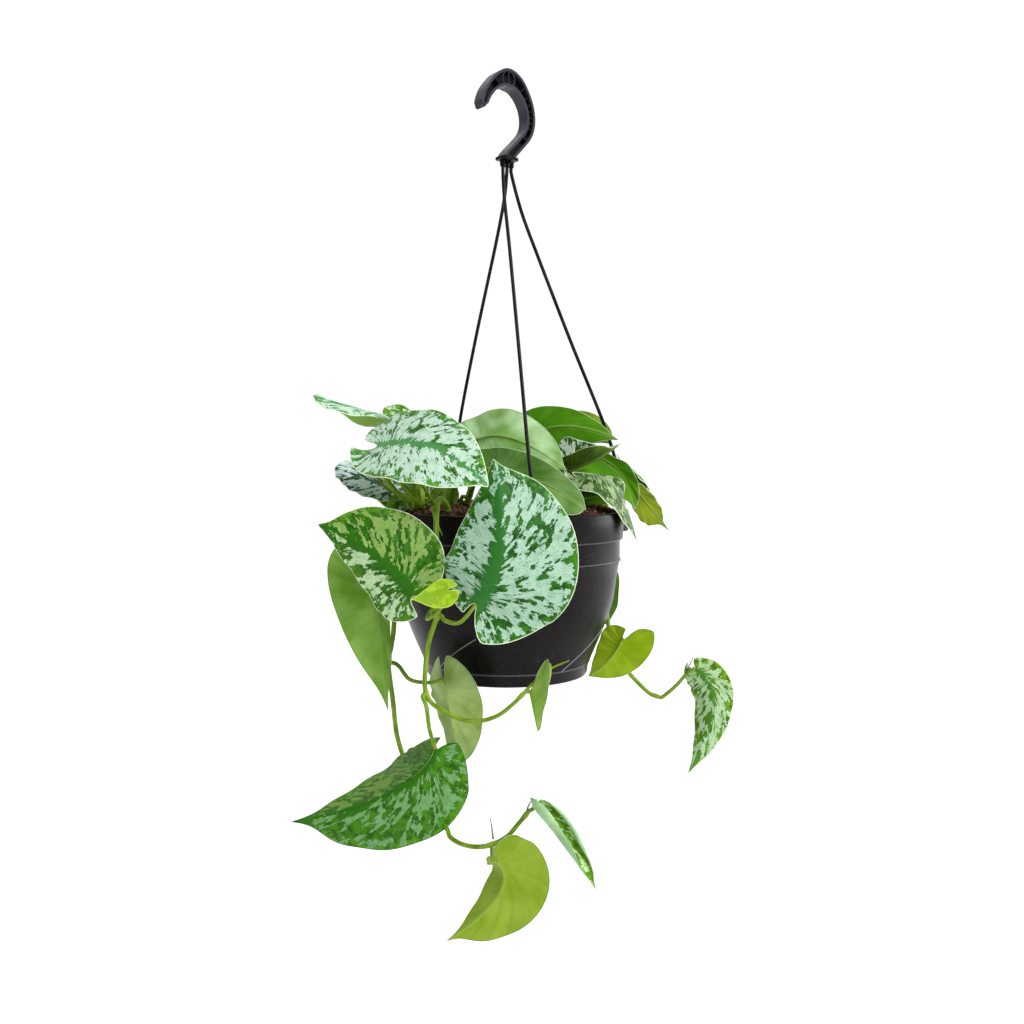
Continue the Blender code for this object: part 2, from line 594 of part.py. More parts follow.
def blade_points(leaf):
    """Points of a heart-shaped blade, row by row from the notch to the tip.

    The outline is an egg that a notch cuts into at the stalk and that runs out into a point.
    A row is a vein, which leaves the midrib and bends towards the outline. A point of the
    blade is the midrib's point plus a share of the vector to that side's widest place. That
    vector turns with the midrib, and the cup bends the edges down. The midrib is a parabola,
    and behind the base it bows the other way, to carry the lobes.
    """
    base, tip = np.array(leaf["base"], float), np.array(leaf["tip"], float)
    control = midrib_control(leaf)

    def midrib(x):
        x = x[..., None]
        bow = np.where(x > 0, 1.0, -1 / REACH) * (base - 2 * control + tip)
        return base + 2 * x * (control - base) + x**2 * bow

    def heading(x):
        inside = np.clip(x, 0, 1)[..., None]
        way = (1 - inside) * (control - base) + inside * (tip - control)
        return way / np.linalg.norm(way, axis=-1, keepdims=True)

    row = np.arange(1, LEAF_ROWS)[:, None] / LEAF_ROWS
    column = np.arange(-LEAF_COLUMNS, LEAF_COLUMNS + 1)[None, :] / LEAF_COLUMNS
    turn = np.pi * row
    left_lobe, right_lobe = leaf.get("lobes", (LOBE, LOBE))
    lobe = np.where(column > 0, right_lobe, left_lobe)
    body = 1 - POINT
    outline_x = ((body - lobe) / 2 - (body + lobe) / 2 * np.cos(turn)
                 + lobe * np.exp(-(turn / ROUNDING)**2) + POINT * np.exp((turn - np.pi) / ROUNDING))
    outline_q = np.sin(turn) * (1 + EGG * np.cos(turn)) / EGG_WIDEST
    start = 0.25 * row + 0.75 * row**4
    share = np.abs(column)
    bend = (start + outline_x) / 2 + VEIN_SWEEP * np.cos(turn)
    x = (1 - share)**2 * start + 2 * share * (1 - share) * bend + share**2 * outline_x
    q = (share * outline_q)[..., None]
    way = heading(x)
    first = heading(np.array(WIDEST))
    right = carried(np.array(leaf["right"], float), first, way)
    left = carried(np.array(leaf["left"], float), first, way)
    side = np.where((column > 0)[..., None], right, left)
    upper = np.cross(np.where((column > 0)[..., None], right, -left), way)
    upper /= np.linalg.norm(upper, axis=-1, keepdims=True)
    return base, midrib(x) + q * side + CUP * q**2 * upper, tip


def make_leaf(name, leaf):
    """One leaf: its blade, and the petiole joined to it."""
    base, rows, tip = blade_points(leaf)
    build = bmesh.new()
    first, last = build.verts.new(base), build.verts.new(tip)
    grid = [[build.verts.new(p) for p in row] for row in rows]
    for k in range(2 * LEAF_COLUMNS):
        build.faces.new((first, grid[0][k + 1], grid[0][k]))
        build.faces.new((last, grid[-1][k], grid[-1][k + 1]))
        for near, far in zip(grid[:-1], grid[1:]):
            build.faces.new((near[k], near[k + 1], far[k + 1], far[k]))
    bmesh.ops.scale(build, vec=(MM, MM, MM), verts=build.verts)
    mesh = bpy.data.meshes.new(name)
    build.to_mesh(mesh)
    build.free()
    piece = add(name, mesh, material("leaf_green", LEAF_GREEN, 0.45))
    skin = piece.modifiers.new("Thickness", "SOLIDIFY")
    skin.thickness = BLADE * MM
    skin.offset = 0.0
    path = smooth(petiole_path(leaf), STEM_STEP)
    radii = np.linspace(PETIOLE_RADIUS * PETIOLE_TAPER, PETIOLE_RADIUS, len(path))
    petiole = add(f"{name}_petiole", tube(f"{name}_petiole", path, list(radii), STEM_SIDES))
    boolean(piece, petiole, "UNION", "MANIFOLD")


def main():
    """Build the hanging pot and its plant."""
    clear_scene()
    make_pot()
    make_mix()
    make_hook()
    make_wires()
    make_stems()
    for name, leaf in LEAVES.items():
        make_leaf(name, leaf)


main()
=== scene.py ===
"""The looks of a satin pothos in a hanging pot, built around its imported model.

The frame is in metres with +Z up, and its origin is the seat of the hook. Tables and sizes
below are in millimetres and are scaled when a mesh is made. Settings are in metres.
"""
import json
import math

import bpy
import numpy as np
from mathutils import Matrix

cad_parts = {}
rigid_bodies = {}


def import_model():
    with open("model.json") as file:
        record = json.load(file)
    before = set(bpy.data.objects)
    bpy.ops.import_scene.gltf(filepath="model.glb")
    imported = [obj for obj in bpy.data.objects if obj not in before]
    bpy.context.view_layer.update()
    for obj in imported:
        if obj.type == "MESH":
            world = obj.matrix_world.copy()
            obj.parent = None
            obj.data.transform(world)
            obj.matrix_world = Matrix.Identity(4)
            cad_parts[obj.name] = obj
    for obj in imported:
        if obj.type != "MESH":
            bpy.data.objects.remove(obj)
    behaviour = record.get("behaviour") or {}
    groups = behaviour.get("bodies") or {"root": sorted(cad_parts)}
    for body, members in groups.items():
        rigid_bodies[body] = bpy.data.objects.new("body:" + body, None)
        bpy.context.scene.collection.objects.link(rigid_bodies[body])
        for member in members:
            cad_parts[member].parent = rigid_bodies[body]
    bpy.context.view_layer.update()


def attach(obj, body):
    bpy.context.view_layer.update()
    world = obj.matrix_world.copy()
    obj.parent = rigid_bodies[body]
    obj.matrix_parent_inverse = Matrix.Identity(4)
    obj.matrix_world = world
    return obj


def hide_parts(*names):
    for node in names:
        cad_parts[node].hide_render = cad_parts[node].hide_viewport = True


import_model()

bl_info = {
    "name": "Satin pothos in a hanging pot",
    "version": (1, 0, 0),
    "blender": (4, 5, 0),
    "location": "3D View > Sidebar > Pothos",
    "description": "Builds a trailing satin pothos, its hanging pot, hook and wires",
    "category": "Add Mesh",
}

MM = 0.001
UP = np.array([0.0, 0.0, 1.0])
BODY = "root"

# Pot: profiles of radius and drop below the rim, the floor, and the swirl lines on the wall
RIM_Z = -308.0
POT_TURNS = 240
ROUND_STEPS = 48
OUTER_WALL = [(83.6, 0.0), (84.6, -0.35), (85.2, -1.5), (84.95, -10.0), (84.6, -19.0), (84.3, -20.0),
              (83.6, -20.5), (82.6, -20.7), (82.35, -21.6), (82.2, -34.0), (82.9, -34.5), (83.0, -35.3),
              (82.7, -36.0), (81.9, -36.5), (80.2, -46.0), (77.6, -63.5), (74.4, -74.5), (70.3, -85.0),
              (65.6, -96.0), (60.9, -107.0), (60.6, -108.4), (60.2, -109.3), (59.4, -110.2),
              (58.4, -116.6), (57.6, -117.8), (56.6, -118.0)]
UNDER_WALL = [(51.0, -118.0), (49.8, -117.4), (48.9, -115.6), (49.0, -112.4)]
INNER_WALL = [(52.0, -113.4), (57.4, -108.6), (61.8, -99.4), (68.3, -84.6), (75.6, -63.2), (80.0, -36.0),
              (81.6, -6.0), (82.4, -0.7), (83.0, -0.1)]
RIDGE_DROPS = (-20.0, -34.5, -109.3)
# Share of painted highlight, in the dust's pale grey, along the collar's and the foot's ridges
RIDGE_HIGHLIGHT = 0.35
FLOOR_UNDER = -115.6
FLOOR_TOP = -113.4
FLOOR_RADIUS = 52.5
DRAIN_HOLES = 5
DRAIN_RADIUS = 3.5
DRAIN_CIRCLE = 34.0
SWIRL_ANGLES = (-142.0, -52.0, 38.0, 128.0)
SWIRL_SWEEP = 35.0
SWIRL_LOW = -109.0
SWIRL_RISE = 26.0
SWIRL_THICK = 0.42
SWIRL_PROUD = 0.02

# Lugs of the pot, which hold the wires. The size is its depth, width and height.
LUG_ANGLES = {"front": -78.0, "right": 8.0, "back_left": 122.0}
LUG_SIZE = (7.5, 14.0, 16.5)
LUG_RADIUS = 86.75
LUG_PROUD = 0.4
LUG_ROUND = 3.2
LUG_SQUARE = 0.45
WIRE_CIRCLE = 87.6
BORE_RADIUS = 1.65
BORE_DEPTH = 12.0

# Potting mix: a mound that is highest in the middle, where it stands above the rim. Its lumps are
# given by size, height and seed.
GAP = 0.35
MIX_CENTRE = 5.0
MIX_SLOPE = 2.5
MIX_EDGE = 5.5
MIX_RADIUS = 82.0
MOUND_RADIUS = 81.0
CRUMB_RADIUS = 80.5
MIX_TURNS = 260
MIX_RINGS = 90
MIX_LUMPS = ((9.0, 1.1, 5), (4.0, 0.7, 6), (1.9, 0.45, 7))
CRUMB_SEED = 11

# Hook: the route of its middle line in its own plane, as across, up and depth of the limb. The ribs
# are shares of the way. The ring is its place across and up, and its radius.
HOOK_TURN = 38.0
HOOK_WIDTH = 10.0
WEB = 2.0
FLANGE = 1.9
RIB = 1.1
RIB_RECESS = 0.5
RIB_FLANK = 0.15
SOLID_END = 0.03
HOOK_STEP = 1.2
HOOK_PLATE = (15.5, 10.5, 2.4)
HOOK_PLATE_Z = -51.0
PLATE_SQUARE = 0.3
PLATE_INSET = 0.35
SOCKET_PITCH = 3.9
SOCKET_TOP = 2.3
SOCKET_END = 2.0
SOCKET_LENGTH = 5.0
HOOK_ROUTE = [
    (-24.2, -17.5, 5.2), (-22.6, -11.8, 6.4), (-19.6, -5.6, 7.4), (-14.6, 0.4, 8.6), (-8.4, 5.2, 11.0),
    (-1.0, 7.2, 13.6), (6.8, 4.6, 11.6), (13.4, -2.6, 9.2), (17.8, -11.6, 8.0), (19.0, -21.8, 7.6),
    (16.2, -30.8, 7.6), (9.2, -39.2, 7.8), (1.8, -46.8, 8.2), (-1.8, -51.6, 8.6),
]
HOOK_RIBS = [0.22, 0.46, 0.515, 0.56, 0.60, 0.64, 0.68, 0.72, 0.80]
HOOK_RING = (-1.6, 6.6, 5.6)
RING_DEPTH = 0.9
RING_THICK = 0.55
BAR_THICK = 0.45
HOOK_NOSE = 3.0

# Wires: the route of each from its socket to just above its lug
WIRE_RADIUS = 1.3
WIRES = {
    "front": [(-3.0, -2.4, -54.0), (-3.0, -2.4, -58.0), (-2.9, -3.2, -63.0), (-1.8, -7.0, -82.0),
              (2.0, -22.0, -122.0), (7.6, -43.0, -187.0), (14.0, -70.0, -263.0), (17.2, -81.0, -292.0)],
    "back_left": [(0.0, 0.0, -54.0), (0.0, 0.0, -58.0), (-0.3, 0.6, -63.0), (-2.0, 4.4, -79.0),
                  (-8.2, 17.0, -109.0), (-24.2, 42.0, -178.0), (-36.6, 62.0, -237.0),
                  (-44.4, 71.8, -288.0)],
    "right": [(3.0, 2.4, -54.0), (3.0, 2.4, -58.0), (3.6, 2.6, -63.0), (10.8, 4.2, -89.0),
              (22.0, 6.0, -119.0), (47.0, 9.0, -183.0), (74.0, 11.4, -250.0), (84.6, 12.2, -288.0)],
}

# Stems: the route as listed, where None stands for the top of the mix, and the radius at both ends
STEMS = {
    "vine_left": dict(radius=(1.9, 1.5), route=[
        (-66, -36, None), (-69, -38, -299), (-76, -43, -296), (-81, -47, -303), (-80, -47, -320),
        (-78, -46, -345), (-78, -45, -383), (-80, -45, -400), (-82, -45, -411), (-79, -44, -437),
        (-75, -44, -466), (-63, -46, -495), (-50, -50, -513), (-41, -58, -521), (-38, -64, -525),
        (-30, -71, -527), (-20, -76, -527), (-10, -80, -524), (0, -82, -518), (8, -82, -509),
        (13, -82, -503)]),
    "vine_front": dict(radius=(2.0, 1.3), route=[
        (-40, -60, None), (-42, -66, -299), (-45, -77, -297), (-46, -85, -304), (-46, -88, -320),
        (-45, -89, -345), (-45, -90, -370), (-47, -90, -377), (-51, -90, -390), (-53, -90, -407),
        (-53, -90, -420), (-49, -91, -428), (-39, -94, -434), (-28, -96, -438), (-16, -98, -438),
        (-5, -99, -434), (4, -99, -427), (10, -99, -421)]),
    "vine_right": dict(radius=(2.0, 1.5), route=[
        (58, 24, None), (62, 32, -298), (71, 43, -297), (77, 49, -305), (77, 49, -325),
        (75, 46, -350), (76, 38, -378), (77, 33, -395), (80, 28, -410), (82, 24, -418),
        (88, 20, -427), (97, 16, -437), (106, 12, -445), (112, 10, -447)]),
    "vine_back": dict(radius=(1.9, 1.3), route=[
        (0, 62, None), (-1, 68, -299), (-2, 82, -297), (-2, 91, -304), (0, 92, -330),
        (4, 92, -352), (10, 91, -374), (14, 90, -388)]),
    "crown_left": dict(radius=(2.6, 2.0), route=[
        (-60, -26, None), (-61, -27, -298), (-60, -24, -288), (-58, -20, -279)]),
    "crown_centre": dict(radius=(2.4, 1.8), route=[
        (-28, -18, None), (-27, -19, -297), (-24, -20, -287), (-20, -20, -279)]),
    "crown_right": dict(radius=(2.6, 2.0), route=[
        (28, 4, None), (29, 4, -297), (32, 4, -287), (36, 5, -277)]),
}
STEM_SIDES = 20
STEM_STEP = 1.4
NODE_SWELL = 0.45
NODE_LENGTH = 3.0

# Blades: cup, groove and bumps in millimetres, the rest as shares of the blade's length or width
CUP = 2.0
LEAF_ROWS = 64
LEAF_COLUMNS = 13
COLUMN_CROWD = 1.5
LOBE = 0.28
REACH = 0.3
WIDEST = 0.2
POINT = 0.08
TAIL = 0.03
NOTCH = 0.05
ROUNDING = 0.22
TAIL_ROUNDING = 0.07
EGG = 0.2
FULL = 0.85
VEIN_SWEEP = 0.07
GROOVE = 0.5
SWELLS = (0.13, 9)
UNEVEN = (0.7, 42.0)
PETIOLE_STEP = 1.6
PETIOLE_SIDES = 14
SPROUT = 2.0

# Leaves. Each hangs on a stem at a point of its route. Base, mid and tip are places on the midrib.
# Left and right reach from the midrib to the widest place of each half, seen on the upper side with
# the tip pointing away. The stalk is the petiole's way from the stem to the base. The look names the
# finishes of both faces. A leaf may also set these, for its left and its right half: lobes, how far
# they reach behind the base; egg, how much broader it is near the base than near the tip; full, which
# is lower for a fuller outline; roll, how far the margin rolls under, in degrees. And these: point and
# tail, the shares of the length that they run out over; twist, the turn about the midrib at the base
# and at the tip, in degrees; wave, the height of the margin's waves and their number.
LEAVES = {
    "leaf_upper_left": dict(
        look="frosted", stem="crown_left", at=0.7,
        stalk=[(-72, -34, -296), (-84, -44, -290), (-91, -54, -276)],
        base=(-88, -62, -262), mid=(-50, -86, -262), tip=(-12, -106, -288),
        left=(-2, 32, 22), right=(-7, -28, -22), egg=(0.2, 0.1),
        full=(0.55, 0.8), lobes=(0.12, 0.24)),
    "leaf_front_left": dict(
        look="dark", stem="vine_front", at=5.2, stalk=[(-50, -92, -357), (-56, -97, -361)],
        base=(-60, -104, -358), mid=(-84, -106, -332), tip=(-122, -96, -312),
        left=(-16, 14, -22), right=(21, 10, 30), lobes=(0.17, 0.14),
        full=(0.65, 0.8), tail=0.05),
    "leaf_front_centre": dict(
        look="splashed", stem="vine_front", at=6.1, stalk=[(-40, -96, -374), (-30, -104, -374)],
        base=(-20, -108, -362), mid=(-5, -114, -324), tip=(-9, -90, -270),
        left=(-33, 20, 10), right=(55, 3, -3), egg=(0.0, 0.15),
        full=(0.8, 0.9), lobes=(0.13, 0.26)),
    "leaf_lower_left": dict(
        look="mottled", stem="vine_front", at=10.3, stalk=[(-52, -94, -430), (-50, -93, -445)],
        base=(-46, -90, -458), mid=(-76, -98, -485), tip=(-140, -92, -505),
        left=(14, 1, -40), right=(-16, 33, 3), lobes=(0.16, 0.12), tail=0.06),
    "leaf_left_hanging": dict(
        look="plain", stem="vine_left", at=5.6, stalk=[(-84, -50, -358), (-90, -57, -348)],
        base=(-91, -62, -351), mid=(-85, -63, -393), tip=(-81, -54, -443),
        left=(-31, -3, 9), right=(7, 7, -12), point=0.14, tail=0.05),
    "leaf_under_pot": dict(
        look="olive", stem="vine_left", at=8.0, stalk=[(-74, -49, -413), (-66, -58, -420), (-53, -68, -420)],
        base=(-42, -72, -417), mid=(-36, -76, -443), tip=(-36, -70, -478),
        left=(-11, 25, -5), right=(23, -3, -6)),
    "leaf_young_front": dict(
        look="young", stem="vine_front", at=17.0, stalk=[],
        base=(14.5, -98, -419), mid=(17, -101, -432), tip=(20, -94, -446),
        left=(13, 3, 19), right=(13, -4, 20), lobes=(0.1, 0.1), full=(0.4, 0.4),
        point=0.2, tail=0.25, wave=(0.3, 3.0)),
    "leaf_young_yellow": dict(
        look="young", stem="vine_front", at=5.8,
        stalk=[(-49, -100, -368), (-50, -110, -371), (-42, -116, -364)],
        base=(-37, -116, -352), mid=(-46, -124, -354), tip=(-59, -130, -356),
        left=(4, -2, -9), right=(-1, 3, 8), wave=(0.4, 2.0), point=0.16),
    "leaf_bottom": dict(
        look="yellow", stem="vine_left", at=17.0, stalk=[],
        base=(-9, -88, -530), mid=(-4, -90, -551), tip=(-40, -84, -586),
        left=(-10, 22, -2), right=(30, -4, -6), lobes=(0.06, 0.24), tail=0.05),
    "leaf_bottom_rolled": dict(
        look="fresh", stem="vine_left", at=20.0, stalk=[(17, -82, -500)],
        base=(20, -82, -496), mid=(39, -78, -523), tip=(60, -82, -556),
        left=(19, 10, -2), right=(-15, -18, 8), lobes=(0.05, 0.08), roll=(-400, -240),
        point=0.14, tail=0.06, wave=(0.3, 3.0)),
    "leaf_right_round": dict(
        look="lime", stem="vine_right", at=8.4, stalk=[(88, 18, -415), (89, 12, -410)],
        base=(86, 7, -404), mid=(76, 10, -420), tip=(61, 20, -434),
        left=(-10, 10, 11), right=(24, -3, -1), lobes=(0.2, 0.26), full=(0.8, 0.7)),
    "leaf_far_right": dict(
        look="pale", stem="vine_right", at=13.0, stalk=[(118, 9, -445), (126, 9, -438), (133, 9, -430)],
        base=(138, 5, -425), mid=(150, 0, -452), tip=(133, 4, -503),
        left=(18, -4, -1), right=(-11, 14, -9), lobes=(0.12, 0.14), full=(0.7, 0.8),
        point=0.12),
    "leaf_top_satin": dict(
        look="sheen", stem="crown_centre", at=2.0, stalk=[(-26, -20, -272), (-28, -20, -262)],
        base=(-21, -20, -257), mid=(6, -35, -257), tip=(41, -45, -278),
        left=(6, -13, -28), right=(12, 2, 19)),
    "leaf_top_tongue": dict(
        look="tongue", stem="crown_centre", at=1.2, stalk=[(-24, -34, -290), (-20, -46, -284)],
        base=(-13, -52, -278), mid=(19, -60.5, -285), tip=(53, -66, -304),
        left=(5, -19, -17.5), right=(5, 6, 15), full=(0.75, 0.7), point=0.02),
    "leaf_top_green": dict(
        look="vivid", stem="crown_right", at=1.6, stalk=[(22, 6, -278), (12, 8, -268)],
        base=(10, 2, -262), mid=(39, 1, -247), tip=(82, -3, -257),
        left=(6, -3, -24), right=(1, 8, 20), egg=(0.2, 0.4)),
    "leaf_top_behind": dict(
        look="yellow", stem="crown_right", at=2.4, stalk=[(30, 22, -270), (26, 36, -260)],
        base=(26, 45, -262), mid=(55, 48, -248), tip=(81, 40, -260),
        left=(3, 2, -22), right=(10, 4, 19)),
    "leaf_top_folded": dict(
        look="shaded", stem="crown_right", at=1.2, stalk=[(32, -8, -286), (32, -16, -280)],
        base=(42, -17, -276), mid=(61, -24, -272), tip=(81, -28, -259),
        left=(-4, 14, 22), right=(0, -19, 12.5), lobes=(0.25, 0.18), full=(0.8, 1.0),
        wave=(0.3, 3.0), tail=0.14),
    "leaf_right_green": dict(
        look="vivid", stem="crown_right", at=2.0, stalk=[(48, 10, -278), (60, 6, -269)],
        base=(67, 4, -270), mid=(84, 4, -283), tip=(95, 8, -308),
        left=(-24, -16, -10), right=(19, 0, -7), full=(0.8, 1.0)),
    "leaf_right_curled": dict(
        look="sage", stem="crown_right", at=0.8, stalk=[(38, -14, -294), (46, -26, -288)],
        base=(51, -30, -283), mid=(76, -35, -292), tip=(93, -20, -332),
        left=(23, 18, -4), right=(-1, -16, -10), lobes=(0.16, 0.28), full=(1.0, 0.9)),
    "leaf_right_olive": dict(
        look="brown", stem="crown_right", at=1.4, stalk=[(52, 14, -292), (76, 16, -292)],
        base=(93, 20, -290), mid=(107, 23, -307), tip=(123, 19, -326),
        left=(0, -6, -20), right=(14, 7, -5), lobes=(0.12, 0.2), point=0.25, tail=0.08),
    "leaf_right_thin": dict(
        look="vivid", stem="crown_right", at=2.8, stalk=[(52, 20, -276), (74, 28, -272)],
        base=(90, 35, -275), mid=(105, 38, -288), tip=(113, 36, -307),
        left=(1, 7, -16), right=(3, -7, -2)),
    "leaf_far_left": dict(
        look="frosted", stem="crown_left", at=2.8, stalk=[(-54, 8, -282), (-64, 30, -264), (-78, 34, -248)],
        base=(-88, 26, -238), mid=(-117, 12, -231), tip=(-144, 4, -224),
        left=(-9, -13, -7), right=(-20, 17, 10), twist=(40, -10)),
    "leaf_left_behind": dict(
        look="vivid", stem="crown_left", at=3.0, stalk=[(-54, -12, -268)],
        base=(-52, 0, -263), mid=(-72, 5, -242), tip=(-87, -2, -241),
        left=(-16, -13, -18), right=(-6, 13, 16)),
    "leaf_left_curl": dict(
        look="blue", stem="crown_left", at=1.3, stalk=[(-70, -30, -296)],
        base=(-78, -32, -295), mid=(-100, -41, -284), tip=(-118, -50, -283),
        left=(-5, -16, -7), right=(-9, 12, 16), lobes=(0.1, 0.2)),
    "leaf_left_inner": dict(
        look="olive", stem="crown_left", at=1.2, stalk=[(-62, -14, -298)],
        base=(-64, -7, -297), mid=(-72, -7, -288), tip=(-82, -4, -279),
        left=(-14, -11, -1), right=(7, 13, 16)),
    "leaf_back_centre": dict(
        look="splashed", stem="crown_right", at=2.2, stalk=[(36, 28, -290), (35, 54, -290)],
        base=(34, 66, -289), mid=(38, 94, -308), tip=(40, 104, -358),
        left=(-30, 6, -6), right=(30, -6, -6)),
    "leaf_back_left": dict(
        look="dark", stem="crown_centre", at=1.6, stalk=[(-34, 10, -286), (-54, 34, -288)],
        base=(-66, 42, -290), mid=(-84, 58, -308), tip=(-91, 68, -352),
        left=(-14, -13, -4), right=(20, 18, -4)),
    "leaf_back_low": dict(
        look="frosted", stem="vine_back", at=7.0, stalk=[(17, 92, -393)],
        base=(20, 95, -396), mid=(16, 102, -420), tip=(6, 99, -447),
        left=(-24, 5, 4), right=(25, 5, 2)),
    "leaf_back_right": dict(
        look="mottled", stem="vine_right", at=4.6, stalk=[(76, 60, -338), (66, 78, -338)],
        base=(60, 86, -345), mid=(72, 84, -372), tip=(72, 80, -408),
        left=(-20, 10, -2), right=(24, -16, -10)),
    "leaf_back_side": dict(
        look="pale", stem="vine_back", at=4.0, stalk=[(-10, 100, -332), (-22, 103, -329)],
        base=(-30, 101, -334), mid=(-43, 94, -366), tip=(-48, 82, -402),
        left=(-22, -14, -4), right=(26, 8, -6)),
}

# Young leaves and petioles deep in the plant, which the big leaves hide from above
INNER_LEAVES = {
    "inner_leaf_left": dict(
        look="shaded", stem="crown_left", at=0.6, stalk=[],
        base=(-46, -27, -303), mid=(-44, -24, -292), tip=(-45, -18, -281),
        left=(11, -1, 1), right=(-11, -1, 1)),
    "inner_leaf_centre": dict(
        look="shaded", stem="crown_centre", at=0.6, stalk=[(-34, -16, -303)],
        base=(-44, -14, -303), mid=(-45, -9, -292), tip=(-44, 0, -279),
        left=(11, -1, 0), right=(-12, -1, 0)),
    "inner_leaf_right": dict(
        look="vivid", stem="crown_right", at=0.5, stalk=[],
        base=(48, 2, -303), mid=(64, 0, -299), tip=(82, -4, -296),
        left=(0, -1, -11), right=(0, 1, 11)),
    "inner_leaf_shade": dict(
        look="shaded", stem="crown_right", at=1.0, stalk=[],
        base=(42, 0, -296), mid=(56, 0, -285), tip=(74, 2, -279),
        left=(0, -2, -13), right=(-2, 4, 13)),
    "inner_leaf_rim": dict(
        look="olive", stem="crown_left", at=0.8, stalk=[(-68, -26, -299)],
        base=(-76, -22, -299), mid=(-88, -20, -293), tip=(-100, -20, -282),
        left=(-2, -8, -8), right=(-6, 8, 8)),
}
INNER_STALKS = {
    "over_rim": dict(radius=(2.2, 1.6), route=[
        (-64, -28, -305), (-69, -39, -300), (-78, -49, -291), (-84, -57, -279), (-83, -61, -267)]),
    "beside_rim": dict(radius=(1.5, 1.2), route=[
        (-58, -36, -305), (-64, -45, -299), (-71, -53, -289), (-76, -60, -275)]),
    "upright": dict(radius=(2.7, 1.9), route=[
        (-62, -34, -305), (-63, -36, -296), (-64, -38, -284), (-64, -42, -272)]),
    "leaning": dict(radius=(1.5, 1.2), route=[
        (-60, -30, -304), (-66, -38, -294), (-74, -44, -284), (-78, -50, -274)]),
    "right_bow": dict(radius=(1.7, 1.4), route=[
        (-36, -28, -305), (-39, -32, -299), (-37, -40, -291), (-31, -48, -284), (-27, -54, -277)]),
    "thin": dict(radius=(1.1, 0.9), route=[
        (-50, -30, -305), (-54, -36, -297), (-60, -44, -286), (-66, -52, -276)]),
    "crossing": dict(radius=(1.2, 0.5), route=[
        (-60, -40, -304), (-56, -43, -301), (-50, -46, -297), (-44, -50, -292)]),
    "shoot": dict(radius=(1.2, 0.5), route=[
        (8, -99, -423), (17, -93, -415), (28, -92, -406), (40, -95, -400)]),
    "sheath": dict(radius=(1.7, 0.3), route=[
        (-49, -78, -303), (-48, -86, -304), (-46, -88, -311), (-42, -88, -320)]),
}

# Loose bits: white roots, and the dry ends that young leaves leave behind
ROOTS = {
    "root_upper": dict(radius=(0.8, 0.35), route=[(77, 47, -345), (76, 43, -340), (74, 42, -336)]),
    "root_middle": dict(radius=(0.9, 0.3), route=[(75, 40, -371), (72, 37, -376), (70, 34, -380)]),
    "root_lower": dict(radius=(0.8, 0.3), route=[(77, 34, -390), (73, 31, -394), (72, 29, -399)]),
}
TENDRILS = {
    "tendril_right": dict(radius=(0.7, 0.25), route=[(133, 8, -430), (135, 8, -424), (138, 8, -417)]),
    "tendril_bottom": dict(radius=(0.7, 0.25), route=[(-9, -81, -520), (-10, -82, -512), (-11, -82, -506)]),
    "tendril_rolled": dict(radius=(0.7, 0.25), route=[(12, -82, -505), (15, -82, -496), (20, -83, -493)]),
}

# Looks of a leaf. Its numbers are the share of silver, how much of it is lost towards the margin, and
# the half width of the green band along the midrib. Its colours are the silver, the silver's dimmer
# tone, the green, the green near the margin, the veins, and the two tones of the under face. A look
# may also set second, the silver of the right half; rim, the line at the margin; and deep, how bright
# the darkest green is against the green.
DEEP = 0.42
LOOK_COLOURS = ("silver_hue", "dim", "green", "edge", "rib", "under", "under_pale")


def leaf_look(silver, loss, band, colours, **more):
    """One look, with a name for each of its numbers and colours."""
    return dict(zip(LOOK_COLOURS, colours.split()), silver=silver, loss=loss, band=band, **more)


